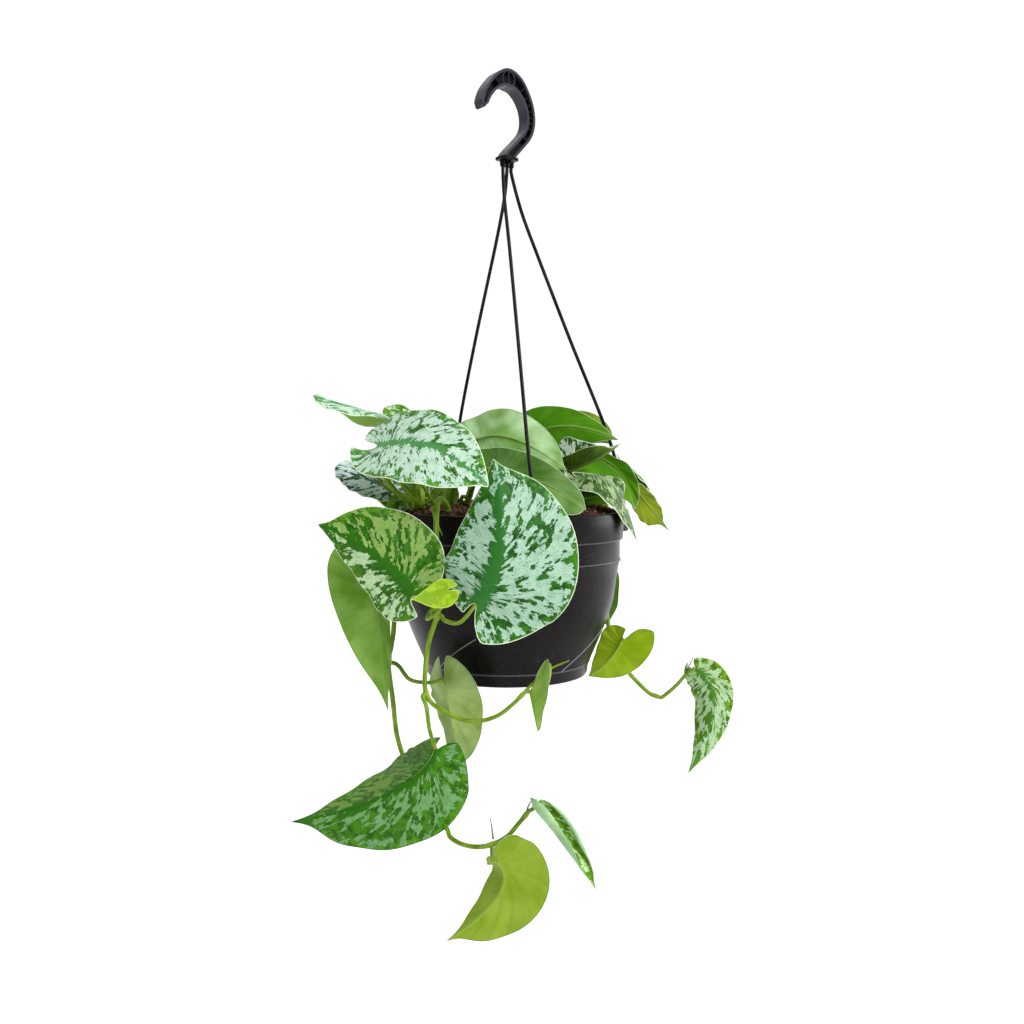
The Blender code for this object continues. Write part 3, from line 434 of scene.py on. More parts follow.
LOOKS = {
    "frosted": leaf_look(0.6, 0.45, 3.6, "#bcd6c2 #92bc96 #3e7e2a #5a9c2c #4a8c4a #6a9430 #82a850"),
    "splashed": leaf_look(0.54, 0.4, 6.2, "#a8c8b0 #7eaa8a #2c6c1c #42861a #30702c #66902c #86a850"),
    "dark": leaf_look(0.47, 0.3, 5.6, "#b8d6a8 #8cb06a #33720a #548a10 #286408 #66902c #7fa44a",
                      second="#6a8c1c"),
    "mottled": leaf_look(0.43, 0.25, 4.2, "#6a9860 #568444 #3c7a0a #4f8c0c #24600a #66902c #7fa44a",
                         second="#688826", rim="#2a5c10"),
    "pale": leaf_look(0.58, 0.4, 2.6, "#b4d4a4 #90ba76 #558a14 #7aa81a #4a8828 #86ac60 #a4c48c"),
    "fresh": leaf_look(0.42, 0.3, 2.0, "#c8e8a8 #a8d080 #7cb418 #6a9a10 #5a9010 #92b684 #aecca4"),
    "plain": leaf_look(0.5, 0.6, 4.0, "#b8d0b0 #90b488 #4a8414 #5f9418 #3a7a2c #66962a #8ab254"),
    "olive": leaf_look(0.5, 0.6, 4.0, "#b8d0b0 #90b488 #4a8414 #5f9418 #3a7a2c #76923a #a4bc78"),
    "tongue": leaf_look(0.5, 0.6, 4.0, "#b8d0b0 #90b488 #4a8414 #5f9418 #3a7a2c #3f6a1e #6c9050"),
    "yellow": leaf_look(0.42, 0.5, 4.0, "#b8d0a8 #94b878 #5f9414 #6f9f18 #3a7a1c #7c981e #90aa38"),
    "lime": leaf_look(0.42, 0.5, 4.0, "#b8d0a8 #94b878 #5f9414 #6f9f18 #3a7a1c #7c9c08 #96b420"),
    "vivid": leaf_look(0.4, 0.5, 4.0, "#b8d0a8 #94b878 #4a8414 #5f9418 #3a7a2c #3a7400 #508a06"),
    # The sheen look's pale under tone is a painted sheen, which the under face shows in soft patches.
    "sheen": leaf_look(0.4, 0.5, 4.0, "#b8d0a8 #94b878 #4a8414 #5f9418 #3a7a2c #78a84a #c8ecb6"),
    "shaded": leaf_look(0.5, 0.2, 1.5, "#b8ccb4 #88a484 #23501a #2f6a1c #2f6a2c #324a10 #56761c"),
    "sage": leaf_look(0.5, 0.2, 1.5, "#94aa7c #788f60 #44682a #3f6a1c #4a7a3a #50780c #6c9024"),
    "brown": leaf_look(0.4, 0.5, 3.0, "#b4c8a4 #8ca87c #5a8414 #6a8a10 #4a7414 #5c6c04 #78880e"),
    "blue": leaf_look(0.6, 0.2, 1.5, "#c4d8d2 #98b4aa #24502c #2f5c34 #3a6a4a #4a6a38 #6c8c70"),
    "young": leaf_look(-0.3, 0.2, 2.0, "#b4cc54 #a0bc3c #86aa16 #98ba28 #729c10 #7ca43c #98bc60",
                       deep=0.75, rim="#b4cc50"),
}

# Colours of the white roots and the dry tendrils, in place of the stems' green
ROOT_COLOURS = dict(stem="#e8e4d4", stem_pale="#f4f2ea", stem_dark="#b8a888", node="#e8e4d4")
DRY_COLOURS = dict(stem="#3a4a20", stem_pale="#6a7a40", stem_dark="#2a2c14", node="#3a4a20")

# Sizes of the patterns on a blade, across and along its veins
PATCH = 8.0
SPECK = 1.7
BLOTCH = (4.4, 9.0)
TEETH = (0.9, 2.6)
STREAK = (0.45, 4.0)
FIBRE = (1.1, 40.0)

# What a blade's mesh tells of each place. In millimetres: how far it is from the base across the
# veins and from the midrib along its vein, and its distance to the margin and to the midrib. As
# shares: its place along the midrib, and which vein it lies on.
BLADE_VALUES = ("girth", "reach", "margin", "rib", "along", "vein")

# Studio: where the world is bright, and how bright it is there and opposite. For each light: how wide
# it is, its tilt from straight above, and its turn about the upright, in degrees.
BRIGHT_SIDE = (0.5, 0.7, 0.5)
BRIGHT = 1.05
DIM = 0.3
BRIGHT_RAMP = (-0.5, 0.3)
LIGHTS = {"key": (25, 48, 44), "side": (40, 88, 116)}

# Camera: focal length for a sensor 36 mm wide, and shift as a share of the picture's width
LENS = 37.62
SHIFT = (0.0049, -0.0566)


# Mesh helpers

def slopes(known):
    """The slope at each known point: half the step from its neighbour before to the one after."""
    before = np.vstack([2 * known[0] - known[1], known[:-1]])
    after = np.vstack([known[1:], 2 * known[-1] - known[-2]])
    return (after - before) / 2


def cubic(start, end, leave, arrive, t):
    """The cubic from start to end with those slopes at its ends, at shares t of the way."""
    return ((2 * t**3 - 3 * t**2 + 1) * start + (t**3 - 2 * t**2 + t) * leave
            + (3 * t**2 - 2 * t**3) * end + (t**3 - t**2) * arrive)


def smooth(points, spacing):
    """Points of a smooth curve through the given ones, a cubic from each to the next, about one
    spacing apart."""
    known = np.array(points, float)
    slope = slopes(known)
    places = []
    for start, end, leave, arrive in zip(known[:-1], known[1:], slope[:-1], slope[1:]):
        steps = max(1, round(float(np.linalg.norm(end - start)) / spacing))
        places.append(cubic(start, end, leave, arrive, np.arange(steps)[:, None] / steps))
    return np.vstack(places + [known[-1:]])


def travelled(path):
    """How far along a path each of its points is."""
    return np.concatenate([[0], np.cumsum(np.linalg.norm(np.diff(path, axis=0), axis=1))])


def unit(vectors):
    """The vectors at length one."""
    return vectors / np.maximum(np.linalg.norm(vectors, axis=-1, keepdims=True), 1e-12)


def circle(steps, start=0.0):
    """Points of a circle of radius one, from a start given in steps: the cosine and sine of a turn."""
    turn = (np.arange(steps) + start) * 2 * np.pi / steps
    return np.stack([np.cos(turn), np.sin(turn)], -1)


def squared(ring, power):
    """A circle of radius one pushed out towards a square: each coordinate raised to a power."""
    return np.sign(ring) * np.abs(ring)**power


def turned(profile, steps):
    """A profile of radius and height turned about the upright axis."""
    ring = circle(steps)
    flat = profile[:, :1, None] * ring
    return np.dstack([flat, np.broadcast_to(profile[:, 1:], flat.shape[:2])])


def quads(numbers, wrap=False):
    """The four corners of each cell of a grid of point numbers, whose columns may wrap round."""
    if wrap:
        numbers = np.hstack([numbers, numbers[:, :1]])
    corners = [numbers[:-1, :-1], numbers[1:, :-1], numbers[1:, 1:], numbers[:-1, 1:]]
    return np.stack(corners, -1).reshape(-1, 4)


def fan(centre, ring, flip=False):
    """Triangles from one point to each step along a row of points."""
    sides = (ring[1:], ring[:-1]) if flip else (ring[:-1], ring[1:])
    return np.column_stack([np.full(len(ring) - 1, centre), *sides])


class Shell:
    """Points and faces that make one mesh, gathered part by part."""

    def __init__(self):
        self.points = []
        self.faces = []
        self.values = []
        self.count = 0

    def add_points(self, points, **values):
        """Take in points with their values, and give back their numbers in the same layout."""
        flat = np.asarray(points, float).reshape(-1, 3)
        numbers = np.arange(self.count, self.count + len(flat)).reshape(np.shape(points)[:-1])
        self.count += len(flat)
        self.points.append(flat)
        self.values.append({k: np.broadcast_to(v, np.shape(points)[:-1]).reshape(-1)
                            for k, v in values.items()})
        return numbers

    def add_faces(self, faces, finish=0):
        """Take in faces that wear one finish."""
        self.faces.append((faces, finish))

    def grid(self, points, wrap=False, finish=0, flip=False, **values):
        """Take in a grid of points with the faces between them."""
        numbers = self.add_points(points, **values)
        cells = quads(numbers, wrap)
        self.add_faces(cells[:, ::-1] if flip else cells, finish)
        return numbers

    def cap(self, ring, place, finish=0, flip=False, **values):
        """Close a ring of points with a fan round one point."""
        centre = self.add_points(np.array(place, float)[None], **values)[0]
        self.add_faces(fan(centre, np.append(ring, ring[0]), flip), finish)

    def tube(self, path, radii, sides, finish=0, last=None, **values):
        """Take in a closed round rod along a path. From a ring on, it may wear another finish.

        A point lies off the path by the radius times the cosine of its turn along one square
        direction plus the sine along the other. The directions are carried along the path.
        """
        way = unit(np.gradient(path, axis=0))
        out = np.empty_like(way)
        side = np.cross(way[0], (0.31, 0.57, 0.76))
        for k, ahead in enumerate(way):
            side = side - ahead * (side @ ahead)
            side = side / np.linalg.norm(side)
            out[k] = side
        over = np.cross(way, out)
        turn = np.arange(sides) / sides
        ring = circle(sides)
        spokes = out[:, None] * ring[:, :1] + over[:, None] * ring[:, 1:]
        points = path[:, None] + spokes * np.asarray(radii, float)[:, None, None]
        far = travelled(path)[:, None]
        given = {"reach": far + 0 * turn, "vein": turn + 0 * far, **values}
        numbers = self.add_points(points, **given)
        cells = quads(numbers, wrap=True)[:, ::-1]
        start, other = last or (len(path), finish)
        self.add_faces(cells[:start * sides], finish)
        self.add_faces(cells[start * sides:], other)
        ends = {k: np.broadcast_to(v, numbers.shape) for k, v in given.items()}
        self.cap(numbers[0], path[0], finish, **{k: v[0, :1] for k, v in ends.items()})
        self.cap(numbers[-1], path[-1], finish, flip=True, **{k: v[-1, :1] for k, v in ends.items()})
        return numbers

    def mesh(self, name, finishes, sharp=None):
        """The finished mesh in metres, with its values as attributes."""
        made = bpy.data.meshes.new(name)
        corners = [face for faces, _ in self.faces for face in faces.tolist()]
        made.from_pydata((np.vstack(self.points) * MM).tolist(), [], corners)
        paler_tone = np.concatenate([np.full(len(faces), finish) for faces, finish in self.faces])
        made.polygons.foreach_set("material_index", paler_tone.astype(np.int32))
        for key in sorted({k for part in self.values for k in part}):
            whole = np.concatenate([part.get(key, np.zeros(len(points)))
                                    for part, points in zip(self.values, self.points)])
            column = made.attributes.new(key, "FLOAT", "POINT")
            column.data.foreach_set("value", whole.astype(np.float32))
        for finish in finishes:
            made.materials.append(finish)
        made.shade_smooth()
        if sharp is not None:
            made.set_sharp_from_angle(angle=math.radians(sharp))
        return made


def link(name, data):
    """Put a mesh, a lamp or a camera into the scene."""
    made = bpy.data.objects.new(name, data)
    bpy.context.scene.collection.objects.link(made)
    return made


def add_piece(name, mesh, nodes=()):
    """Put a mesh into the scene as a piece that rides on the body and stands for its nodes."""
    piece = link(name, mesh)
    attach(piece, BODY)
    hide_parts(*nodes)
    return piece


# Material helpers

def shade(code):
    """A scene colour from a hexadecimal display colour."""
    parts = np.array([int(code[k:k + 2], 16) / 255 for k in (1, 3, 5)])
    linear = np.where(parts <= 0.04045, parts / 12.92, ((parts + 0.055) / 1.055)**2.4)
    return tuple(float(v) for v in linear)


class Value:
    """A node's output that can be added, taken away and multiplied."""

    def __init__(self, recipe, socket):
        self.recipe = recipe
        self.socket = socket

    def __add__(self, other):
        return self.recipe.math("ADD", self, other)

    def __sub__(self, other):
        return self.recipe.math("SUBTRACT", self, other)

    def __mul__(self, other):
        return self.recipe.math("MULTIPLY", self, other)


class Recipe:
    """One material put together from nodes."""

    def __init__(self, name, **shader):
        self.material = bpy.data.materials.new(name)
        self.material.use_nodes = True
        self.tree = self.material.node_tree
        self.shader = self.tree.nodes["Principled BSDF"]
        for socket, value in shader.items():
            self.shader.inputs[socket.replace("_", " ")].default_value = value

    def put(self, socket, value):
        """Link a value to a socket, or set it there."""
        if isinstance(value, Value):
            self.tree.links.new(value.socket, socket)
        elif value is not None:
            socket.default_value = value

    def node(self, kind, output, inputs=(), **settings):
        """A node with its settings and inputs, as the value of one of its outputs."""
        made = self.tree.nodes.new(kind)
        for key, value in settings.items():
            setattr(made, key, value)
        for socket, value in dict(inputs).items():
            self.put(made.inputs[socket], value)
        return Value(self, made.outputs[output])

    def math(self, operation, a, b=0.0):
        """One step of arithmetic."""
        return self.node("ShaderNodeMath", 0, {0: a, 1: b}, operation=operation)

    def step(self, value, low, high, start=0.0, end=1.0):
        """A soft step from start to end as the value goes from low to high."""
        return self.node("ShaderNodeMapRange", 0, {0: value, 1: low, 2: high, 3: start, 4: end},
                         interpolation_type="SMOOTHSTEP")

    def attribute(self, name):
        """A value that the mesh carries."""
        return self.node("ShaderNodeAttribute", "Fac", attribute_name=name)

    def place(self, size, shift=0.0):
        """Object coordinates in units of a size in millimetres."""
        where = self.node("ShaderNodeTexCoord", "Object")
        scale = 1 / (size * MM)
        return self.node("ShaderNodeVectorMath", 0, {0: where, 1: (scale,) * 3, 2: (shift,) * 3},
                         operation="MULTIPLY_ADD")

    def on_blade(self, across, along, size, shift=0.0):
        """A place on a blade from its two surface coordinates, in units of a size in millimetres."""
        return self.node("ShaderNodeCombineXYZ", 0,
                         {0: across * (1 / size[0]), 1: along * (1 / size[1]), 2: shift})

    def noise(self, where, detail=2.0, roughness=0.5):
        """Soft noise from 0 to 1."""
        return self.node("ShaderNodeTexNoise", "Fac", {"Vector": where, "Scale": 1.0, "Detail": detail,
                                                       "Roughness": roughness})

    def scatter(self, where):
        """Distance to the nearest of scattered points."""
        return self.node("ShaderNodeTexVoronoi", "Distance", {"Vector": where, "Scale": 1.0})

    def mix(self, share, a, b):
        """A blend of two colours, each a value, three numbers or a hexadecimal display colour."""
        a, b = (shade(colour) if isinstance(colour, str) else colour for colour in (a, b))
        a, b = (colour if isinstance(colour, Value) else (*colour, 1.0) for colour in (a, b))
        return self.node("ShaderNodeMix", 2, {0: share, 6: a, 7: b}, data_type="RGBA")

    def wave(self, value):
        """The sine of a value given in whole turns, from 0 to 1."""
        return self.math("SINE", value * (2 * math.pi)) * 0.5 + 0.5

    def finish(self, colour, roughness, height=None, depth=0.1):
        """Join colour, roughness and a height in units of the depth in millimetres."""
        self.put(self.shader.inputs["Base Color"], colour)
        self.put(self.shader.inputs["Roughness"], roughness)
        if height is not None:
            bump = self.node("ShaderNodeBump", 0, {"Height": height, "Distance": depth * MM})
            self.put(self.shader.inputs["Normal"], bump)
        return self.material


# Materials

def upper_finish(name, look, seed, colours):
    """The upper face: green with silver patches that follow the veins, and a line at the margin.

    Silver shows where a sum of coarse, toothed and flecked noise and the look's share is high. The
    band along the midrib takes away from that sum, and near the margin the flecks count for more.
    """
    k = Recipe(f"{name}_upper", Specular_IOR_Level=0.1)
    girth, reach, margin, rib, along, vein = map(k.attribute, BLADE_VALUES)
    patches = k.noise(k.place(PATCH, seed), 1.0)
    blotches = k.noise(k.on_blade(girth, reach, BLOTCH, seed + 3), 1.0)
    teeth = k.noise(k.on_blade(girth, reach, TEETH, seed + 7), 1.5)
    streaks = k.noise(k.on_blade(girth, reach, STREAK, seed + 11), 1.0)
    near_edge = k.step(margin, 1.0, 9.0, 1.0, 0.0)
    band = k.step(along, 0.1, 1.0, 1.0, 0.3) * look["band"]
    off_band = rib + (teeth - 0.5) * 8.0 + (blotches - 0.5) * 14.0 - band
    specks = k.noise(k.place(SPECK, seed + 5), 1.0)
    level = ((patches - 0.5) * 2.8 + (blotches - 0.5) * 3.6 + (teeth - 0.5) * 1.3
             + (specks - 0.5) * (near_edge * 1.3 + 1.0)
             + (look["silver"] - 0.45) * 2.4 - near_edge * look["loss"]
             + k.step(off_band, -1.0, 1.0, -2.6, 0.0))
    silver = k.step(level, -0.04, 0.05)
    tone = k.noise(k.place(4.5, seed + 17), 2.0)
    deep = [look.get("deep", DEEP) * part for part in shade(look["green"])]
    green = k.mix(k.step(tone, 0.35, 0.65), deep, look["green"])
    green = k.mix(near_edge * k.step(tone, 0.4, 0.6, 0.2, 0.8), green, look["edge"])
    green = k.mix(k.step(rib, look["band"] * 1.4, look["band"] * 0.6, 0.0, 0.85), green, look["rib"])
    green = k.mix(k.step(level, -0.4, -0.02, 0.0, 0.6), green, deep)
    sheen = k.mix(k.step(tone, 0.4, 0.7, 0.0, 0.5), look["silver_hue"], look["dim"])
    lit_half = k.step(reach + (patches - 0.5) * 50.0, -6.0, 8.0)
    sheen = k.mix(lit_half * 0.8, sheen, look["second"]) if "second" in look else sheen
    sheen = k.mix(k.step(streaks, 0.64, 0.68, 0.0, 0.85), sheen, look["rib"])
    sheen = k.mix(k.step(level, 0.3, 0.05, 0.0, 0.3), sheen, look["dim"])
    colour = k.mix(silver, green, sheen)
    colour = k.mix(k.step(margin, colours["margin_width"] * 1.25, colours["margin_width"] * 0.75),
                   colour, look.get("rim", colours["margin"]))
    grain = k.noise(k.place(0.5), 2.0)
    height = grain * 0.35 + silver * 0.25 + k.wave(vein * 11.0 + reach * 0.01) * 0.4
    return k.finish(colour, k.step(silver, 0.0, 1.0, 0.4, 0.5), height, 0.22)


def under_finish(name, look, seed, colours):
    """The under face: plain green with fine curved veins, darker towards the edge."""
    k = Recipe(f"{name}_under", Specular_IOR_Level=0.06)
    girth, reach, margin, rib, _, vein = map(k.attribute, BLADE_VALUES)
    soft = k.noise(k.place(24.0, seed + 23), 2.0)
    lines = k.noise(k.on_blade(girth, reach, FIBRE, seed + 29), 2.0)
    colour = k.mix(k.step(soft, 0.32, 0.68), look["under"], look["under_pale"])
    ribs = k.wave(vein * 9.0 + reach * 0.004 + lines * 0.3)
    colour = k.mix(k.step(lines, 0.45, 0.7, 0.0, 0.08), colour, colours["vein"])
    colour = k.mix(k.step(lines, 0.42, 0.3, 0.0, 0.08), colour, colours["deep"])
    colour = k.mix(k.step(ribs, 0.8, 1.0, 0.0, 0.1), colour, colours["deep"])
    colour = k.mix(k.step(rib, 2.2, 0.6, 0.0, 0.3), colour, colours["vein"])
    colour = k.mix(k.step(margin, colours["margin_width"] * 2.2, colours["margin_width"], 0.0, 0.45),
                   colour, colours["deep"])
    colour = k.mix(k.step(margin, colours["margin_width"] * 0.8, 0.0), colour, colours["margin"])
    grain = k.noise(k.place(0.6), 2.0)
    height = grain * 0.3 + lines * 0.3 + ribs * 0.4
    return k.finish(colour, k.step(soft, 0.2, 0.8, 0.42, 0.52), height, 0.16)


def stem_finish(name, colours, seed=0.0):
    """Living stem: green with fine paler lengthwise streaks, and darker patches of painted shade in places.
    """
    k = Recipe(name, Specular_IOR_Level=0.15)
    turn = k.attribute("vein")
    far = k.attribute("reach")
    streak = k.noise(k.on_blade(turn, far, (0.09, 14.0), seed), 2.0)
    patch = k.noise(k.place(9.0, seed), 2.0)
    colour = k.mix(k.step(streak, 0.35, 0.65), colours["stem"], colours["stem_pale"])
    # The darker patches are painted shade.
    colour = k.mix(k.step(patch, 0.52, 0.72, 0.0, 0.6), colour, colours["stem_dark"])
    colour = k.mix(k.attribute("node"), colour, colours["node"])
    return k.finish(colour, k.step(patch, 0.3, 0.7, 0.34, 0.5), streak, 0.12)


def pot_finish(settings):
    """Dark moulded plastic: a faint grain, dull patches, dust in specks, and a painted highlight in the
    dust's pale grey along the ridges, swirl lines and lugs.
    """
    k = Recipe("pot_plastic", Specular_IOR_Level=0.12)
    cloud = k.noise(k.place(34.0), 3.0)
    grain = k.noise(k.place(0.7), 2.0)
    specks = k.scatter(k.place(1.7))
    colour = k.mix(k.step(cloud, 0.35, 0.75, 0.0, 0.8), settings.colour, settings.dull)
    dust = k.step(specks, 0.2, 0.08) * k.step(k.noise(k.place(7.0), 1.0), 0.46, 0.58)
    # Real dust specks and the painted highlight of the line value both take the dust's pale grey.
    colour = k.mix(k.math("MAXIMUM", dust * 0.3, k.attribute("line")), colour, settings.dust)
    return k.finish(colour, k.step(cloud, 0.3, 0.7, 0.3, 0.42), grain * 0.5 + dust, 0.1)


def gloss_finish(name, colour, roughness, size):
    """Glossy moulded plastic with faint flow marks, and a painted highlight along the edges."""
    k = Recipe(name, Specular_IOR_Level=0.12)
    cloud = k.noise(k.place(size), 2.0)
    grain = k.noise(k.place(0.5), 1.0)
    paler_tone = [min(1.0, part * 2.2 + 0.01) for part in colour]
    mixed = k.mix(k.step(cloud, 0.4, 0.75, 0.0, 0.7), colour, paler_tone)
    # The line value paints a highlight in this pale grey on the hook's edges, ring and bar.
    mixed = k.mix(k.attribute("line") * 0.5, mixed, "#4c4c56")
    return k.finish(mixed, k.step(cloud, 0.3, 0.7, roughness, roughness + 0.14), grain, 0.05)


def mix_finish(settings):
    """Moist potting mix: dark red-brown grains with paler fibres."""
    k = Recipe("potting_mix")
    coarse = k.noise(k.place(3.2), 3.0)
    fine = k.noise(k.place(0.9), 3.0, 0.65)
    colour = k.mix(k.step(fine, 0.35, 0.7), settings.dark, settings.red)
    colour = k.mix(k.step(coarse, 0.6, 0.75, 0.0, 0.7), colour, settings.pale)
    colour = k.mix(k.attribute("tone"), colour, settings.pale)
    return k.finish(colour, 0.9, fine + coarse, 0.9)


# Shapes

def pot_shell():
    """The pot's wall: a profile of radius and height turned about the upright axis.

    The profile runs down the outside, under the foot, and up the inside. The floor is two plates
    with round holes, each made of wedges that run straight from a hole's rim to the wedge's edge.
    """
    shell = Shell()
    profile = np.array(OUTER_WALL + UNDER_WALL + INNER_WALL)
    # The ridges carry a painted highlight through the line value.
    paler_tone = np.isin(profile[:, 1], RIDGE_DROPS)[:, None] * RIDGE_HIGHLIGHT
    numbers = shell.add_points(turned(profile + [0.0, RIM_Z], POT_TURNS), line=paler_tone)
    shell.add_faces(quads(np.vstack([numbers, numbers[:1]]), wrap=True))
    drain_floor(shell)
    swirl_lines(shell)
    for angle in LUG_ANGLES.values():
        lug(shell, math.radians(angle))
    return shell


def drain_floor(shell):
    """The pot's floor with its round drain holes, as wedges from each hole to the wall.

    In a wedge a point goes straight from the hole's rim to the wedge's outline, which is met by
    the ray from the hole's centre at the same angle.
    """
    half = np.pi / DRAIN_HOLES
    ray = circle(ROUND_STEPS, 0.5)
    centre = np.array([DRAIN_CIRCLE, 0.0])
    to_arc = -(ray @ centre) + np.sqrt((ray @ centre)**2 + FLOOR_RADIUS**2 - DRAIN_CIRCLE**2)
    sides = [np.array([-math.sin(half), s * math.cos(half)]) for s in (1, -1)]
    to_side = [np.where(ray @ side > 1e-6, -(centre @ side) / np.maximum(ray @ side, 1e-6), np.inf)
               for side in sides]
    far = np.minimum(to_arc, np.minimum(*to_side))[:, None]
    rim = centre + ray * DRAIN_RADIUS
    edge = centre + ray * far
    loops = [(edge, FLOOR_TOP), (rim, FLOOR_TOP), (rim, FLOOR_UNDER), (edge, FLOOR_UNDER)]
    for k in range(DRAIN_HOLES):
        turn = 2 * half * k
        spun = np.array([[math.cos(turn), math.sin(turn)], [-math.sin(turn), math.cos(turn)]])
        points = np.stack([np.column_stack([loop @ spun, np.full(ROUND_STEPS, RIM_Z + drop)])
                           for loop, drop in loops])
        shell.grid(points, wrap=True, flip=True)


def wall_radius(drop):
    """Radius of the pot's outside at a drop below the rim."""
    wall = np.array(OUTER_WALL[::-1], float)
    return np.interp(drop, wall[:, 1], wall[:, 0])


def swirl_lines(shell):
    """Four fine raised lines that sweep up round the wall from the foot."""
    share = np.linspace(0, 1, 40)
    drop = SWIRL_LOW + SWIRL_RISE * share
    for start in SWIRL_ANGLES:
        turn = np.radians(start + SWIRL_SWEEP * share)
        radius = wall_radius(drop) + SWIRL_PROUD
        path = np.column_stack([radius * np.cos(turn), radius * np.sin(turn), RIM_Z + drop])
        # The swirl lines carry a painted highlight, a line value of 0.8.
        shell.tube(path, SWIRL_THICK * np.sin(np.pi * np.clip(share * 20, 0, 0.5)), 8, line=0.8)


def lug(shell, angle):
    """A rounded block on the collar with a round bore for the wire.

    Its surface goes in loops from the bore's floor up to its mouth, out over the top, down the
    side and in under the bottom. The outer loops are rounded rectangles, inset by a share of the
    lug's rounding where the block rounds off.
    """
    depth, width, tall = LUG_SIZE
    ring = circle(ROUND_STEPS)
    block = squared(ring, LUG_SQUARE)
    half = np.array([depth, width]) / 2
    bore = ring * BORE_RADIUS + [WIRE_CIRCLE - LUG_RADIUS, 0.0]
    top = RIM_Z + LUG_PROUD
    low = RIM_Z - BORE_DEPTH
    under = top - tall
    rounded = [(0.66, top), (0.3, top - 0.25), (0.09, top - 0.9), (0.0, top - 2.0),
               (0.0, under + 2.0), (0.18, under + 0.6), (0.66, under)]
    loops = [(bore, low), (bore, top - 0.3), (bore * 1.08, top)]
    loops += [(block * (half - share * LUG_ROUND), height) for share, height in rounded]
    out = np.array([math.cos(angle), math.sin(angle)])
    along = np.array([-math.sin(angle), math.cos(angle)])
    points = np.stack([np.column_stack([(loop[:, :1] + LUG_RADIUS) * out + loop[:, 1:] * along,
                                        np.full(ROUND_STEPS, height)]) for loop, height in loops])
    # The line value of 0.3 paints a highlight on the lug in the dust's pale grey.
    numbers = shell.grid(points, wrap=True, flip=True, line=0.3)
    shell.cap(numbers[0], (*(WIRE_CIRCLE * out), low))
    shell.cap(numbers[-1], (*(LUG_RADIUS * out), under), flip=True)


def mix_height(radius):
    """Height of the top of the potting mix at a distance from the axis: it falls with the square of
    the distance, and more steeply at the wall with its tenth power."""
    share = radius / MIX_RADIUS
    return RIM_Z + MIX_CENTRE - MIX_SLOPE * share**2 - MIX_EDGE * share**10


def lumps(points, size, seed, waves=24):
    """Smooth random bumps: a mean of sine waves in random directions, of about one size."""
    random = np.random.default_rng(seed)
    ways = random.normal(size=(waves, 3))
    ways = unit(ways) * random.uniform(0.6, 1.5, (waves, 1)) / size
    phases = random.uniform(0, 1, waves)
    return np.sin(2 * np.pi * (points @ ways.T + phases)).mean(-1) * math.sqrt(waves / 8)


def mix_shell(settings):
    """The potting mix: its mound turned about the axis and made lumpy, over the pot's inside."""
    shell = Shell()
    inside = [(radius - GAP, RIM_Z + drop) for radius, drop in INNER_WALL[:7]]
    inside[0] = (inside[0][0], inside[0][1] + GAP)
    radii = MOUND_RADIUS * np.linspace(1, 0.004, MIX_RINGS)**0.8
    profile = np.vstack([inside, np.column_stack([radii, mix_height(radii)])])
    points = turned(profile, MIX_TURNS)
    rough = sum(lumps(points, size, seed) * height for size, height, seed in MIX_LUMPS)
    points[..., 2] += rough * np.clip((np.arange(len(profile)) - len(inside)) / 4, 0, 1)[:, None]
    numbers = shell.grid(points, wrap=True)
    shell.cap(numbers[0], (0, 0, inside[0][1]))
    shell.cap(numbers[-1], points[-1].mean(0), flip=True)
    crumbs(shell, settings.crumbs, CRUMB_SEED)
    return shell


def crumbs(shell, count, seed):
    """Loose bits of bark and peat: small eight-sided bits, stretched and turned at random, half sunk
    in the mound."""
    random = np.random.default_rng(seed)
    corners = np.array([(1, 0, 0), (0, 1, 0), (-1, 0, 0), (0, -1, 0), (0, 0, 1), (0, 0, -1)], float)
    sides = np.array([(0, 1, 4), (1, 2, 4), (2, 3, 4), (3, 0, 4),
                      (1, 0, 5), (2, 1, 5), (3, 2, 5), (0, 3, 5)])
    size = random.uniform(0.5, 1.5, (count, 1, 1)) * random.uniform(0.5, 1.6, (count, 6, 3))
    spin = np.linalg.qr(random.normal(size=(count, 3, 3)))[0]
    spin[:, :, 0] *= np.sign(np.linalg.det(spin))[:, None]
    radius = CRUMB_RADIUS * np.sqrt(random.uniform(0, 1, count))
    turn = random.uniform(0, 2 * np.pi, count)
    place = np.column_stack([radius * np.cos(turn), radius * np.sin(turn), mix_height(radius) + 0.5])
    points = np.einsum("nij,nkj->nki", spin, corners * size) + place[:, None]
    tone = random.uniform(0, 1, (count, 1))**3
    numbers = shell.add_points(points, tone=tone)
    shell.add_faces(numbers[:, sides].reshape(-1, 3))


def hook_stations(fine):
    """Places along the hook's fine route, with how far from the middle its pocket's floor is at each.

    The floor is the web, and comes close to the faces at the ribs and at both ends.
    """
    share = np.linspace(0, 1, len(fine))
    deep = WEB / 2
    shallow = HOOK_WIDTH / 2 - RIB_RECESS
    length = float(travelled(fine[:, :2])[-1])
    half = RIB / 2 / length
    flank = RIB_FLANK / length
    solid = [(-half, SOLID_END), (1 - SOLID_END, 1 + half)] + [(r - half, r + half) for r in HOOK_RIBS]
    stops = [(0.0, shallow), (1.0, shallow)]
    clear = 2 * flank
    stops += [(s, deep) for s in share if all(s < low - clear or s > high + clear for low, high in solid)]
    for low, high in solid:
        stops += [(s, pocket) for s, pocket in ((low - flank, deep), (low, shallow), (high, shallow),
                                                (high + flank, deep)) if 0 < s < 1]
    stops.sort()
    at = np.array([s for s, _ in stops])
    places = np.column_stack([np.interp(at, share, fine[:, k]) for k in range(3)])
    return places, np.array([pocket for _, pocket in stops])


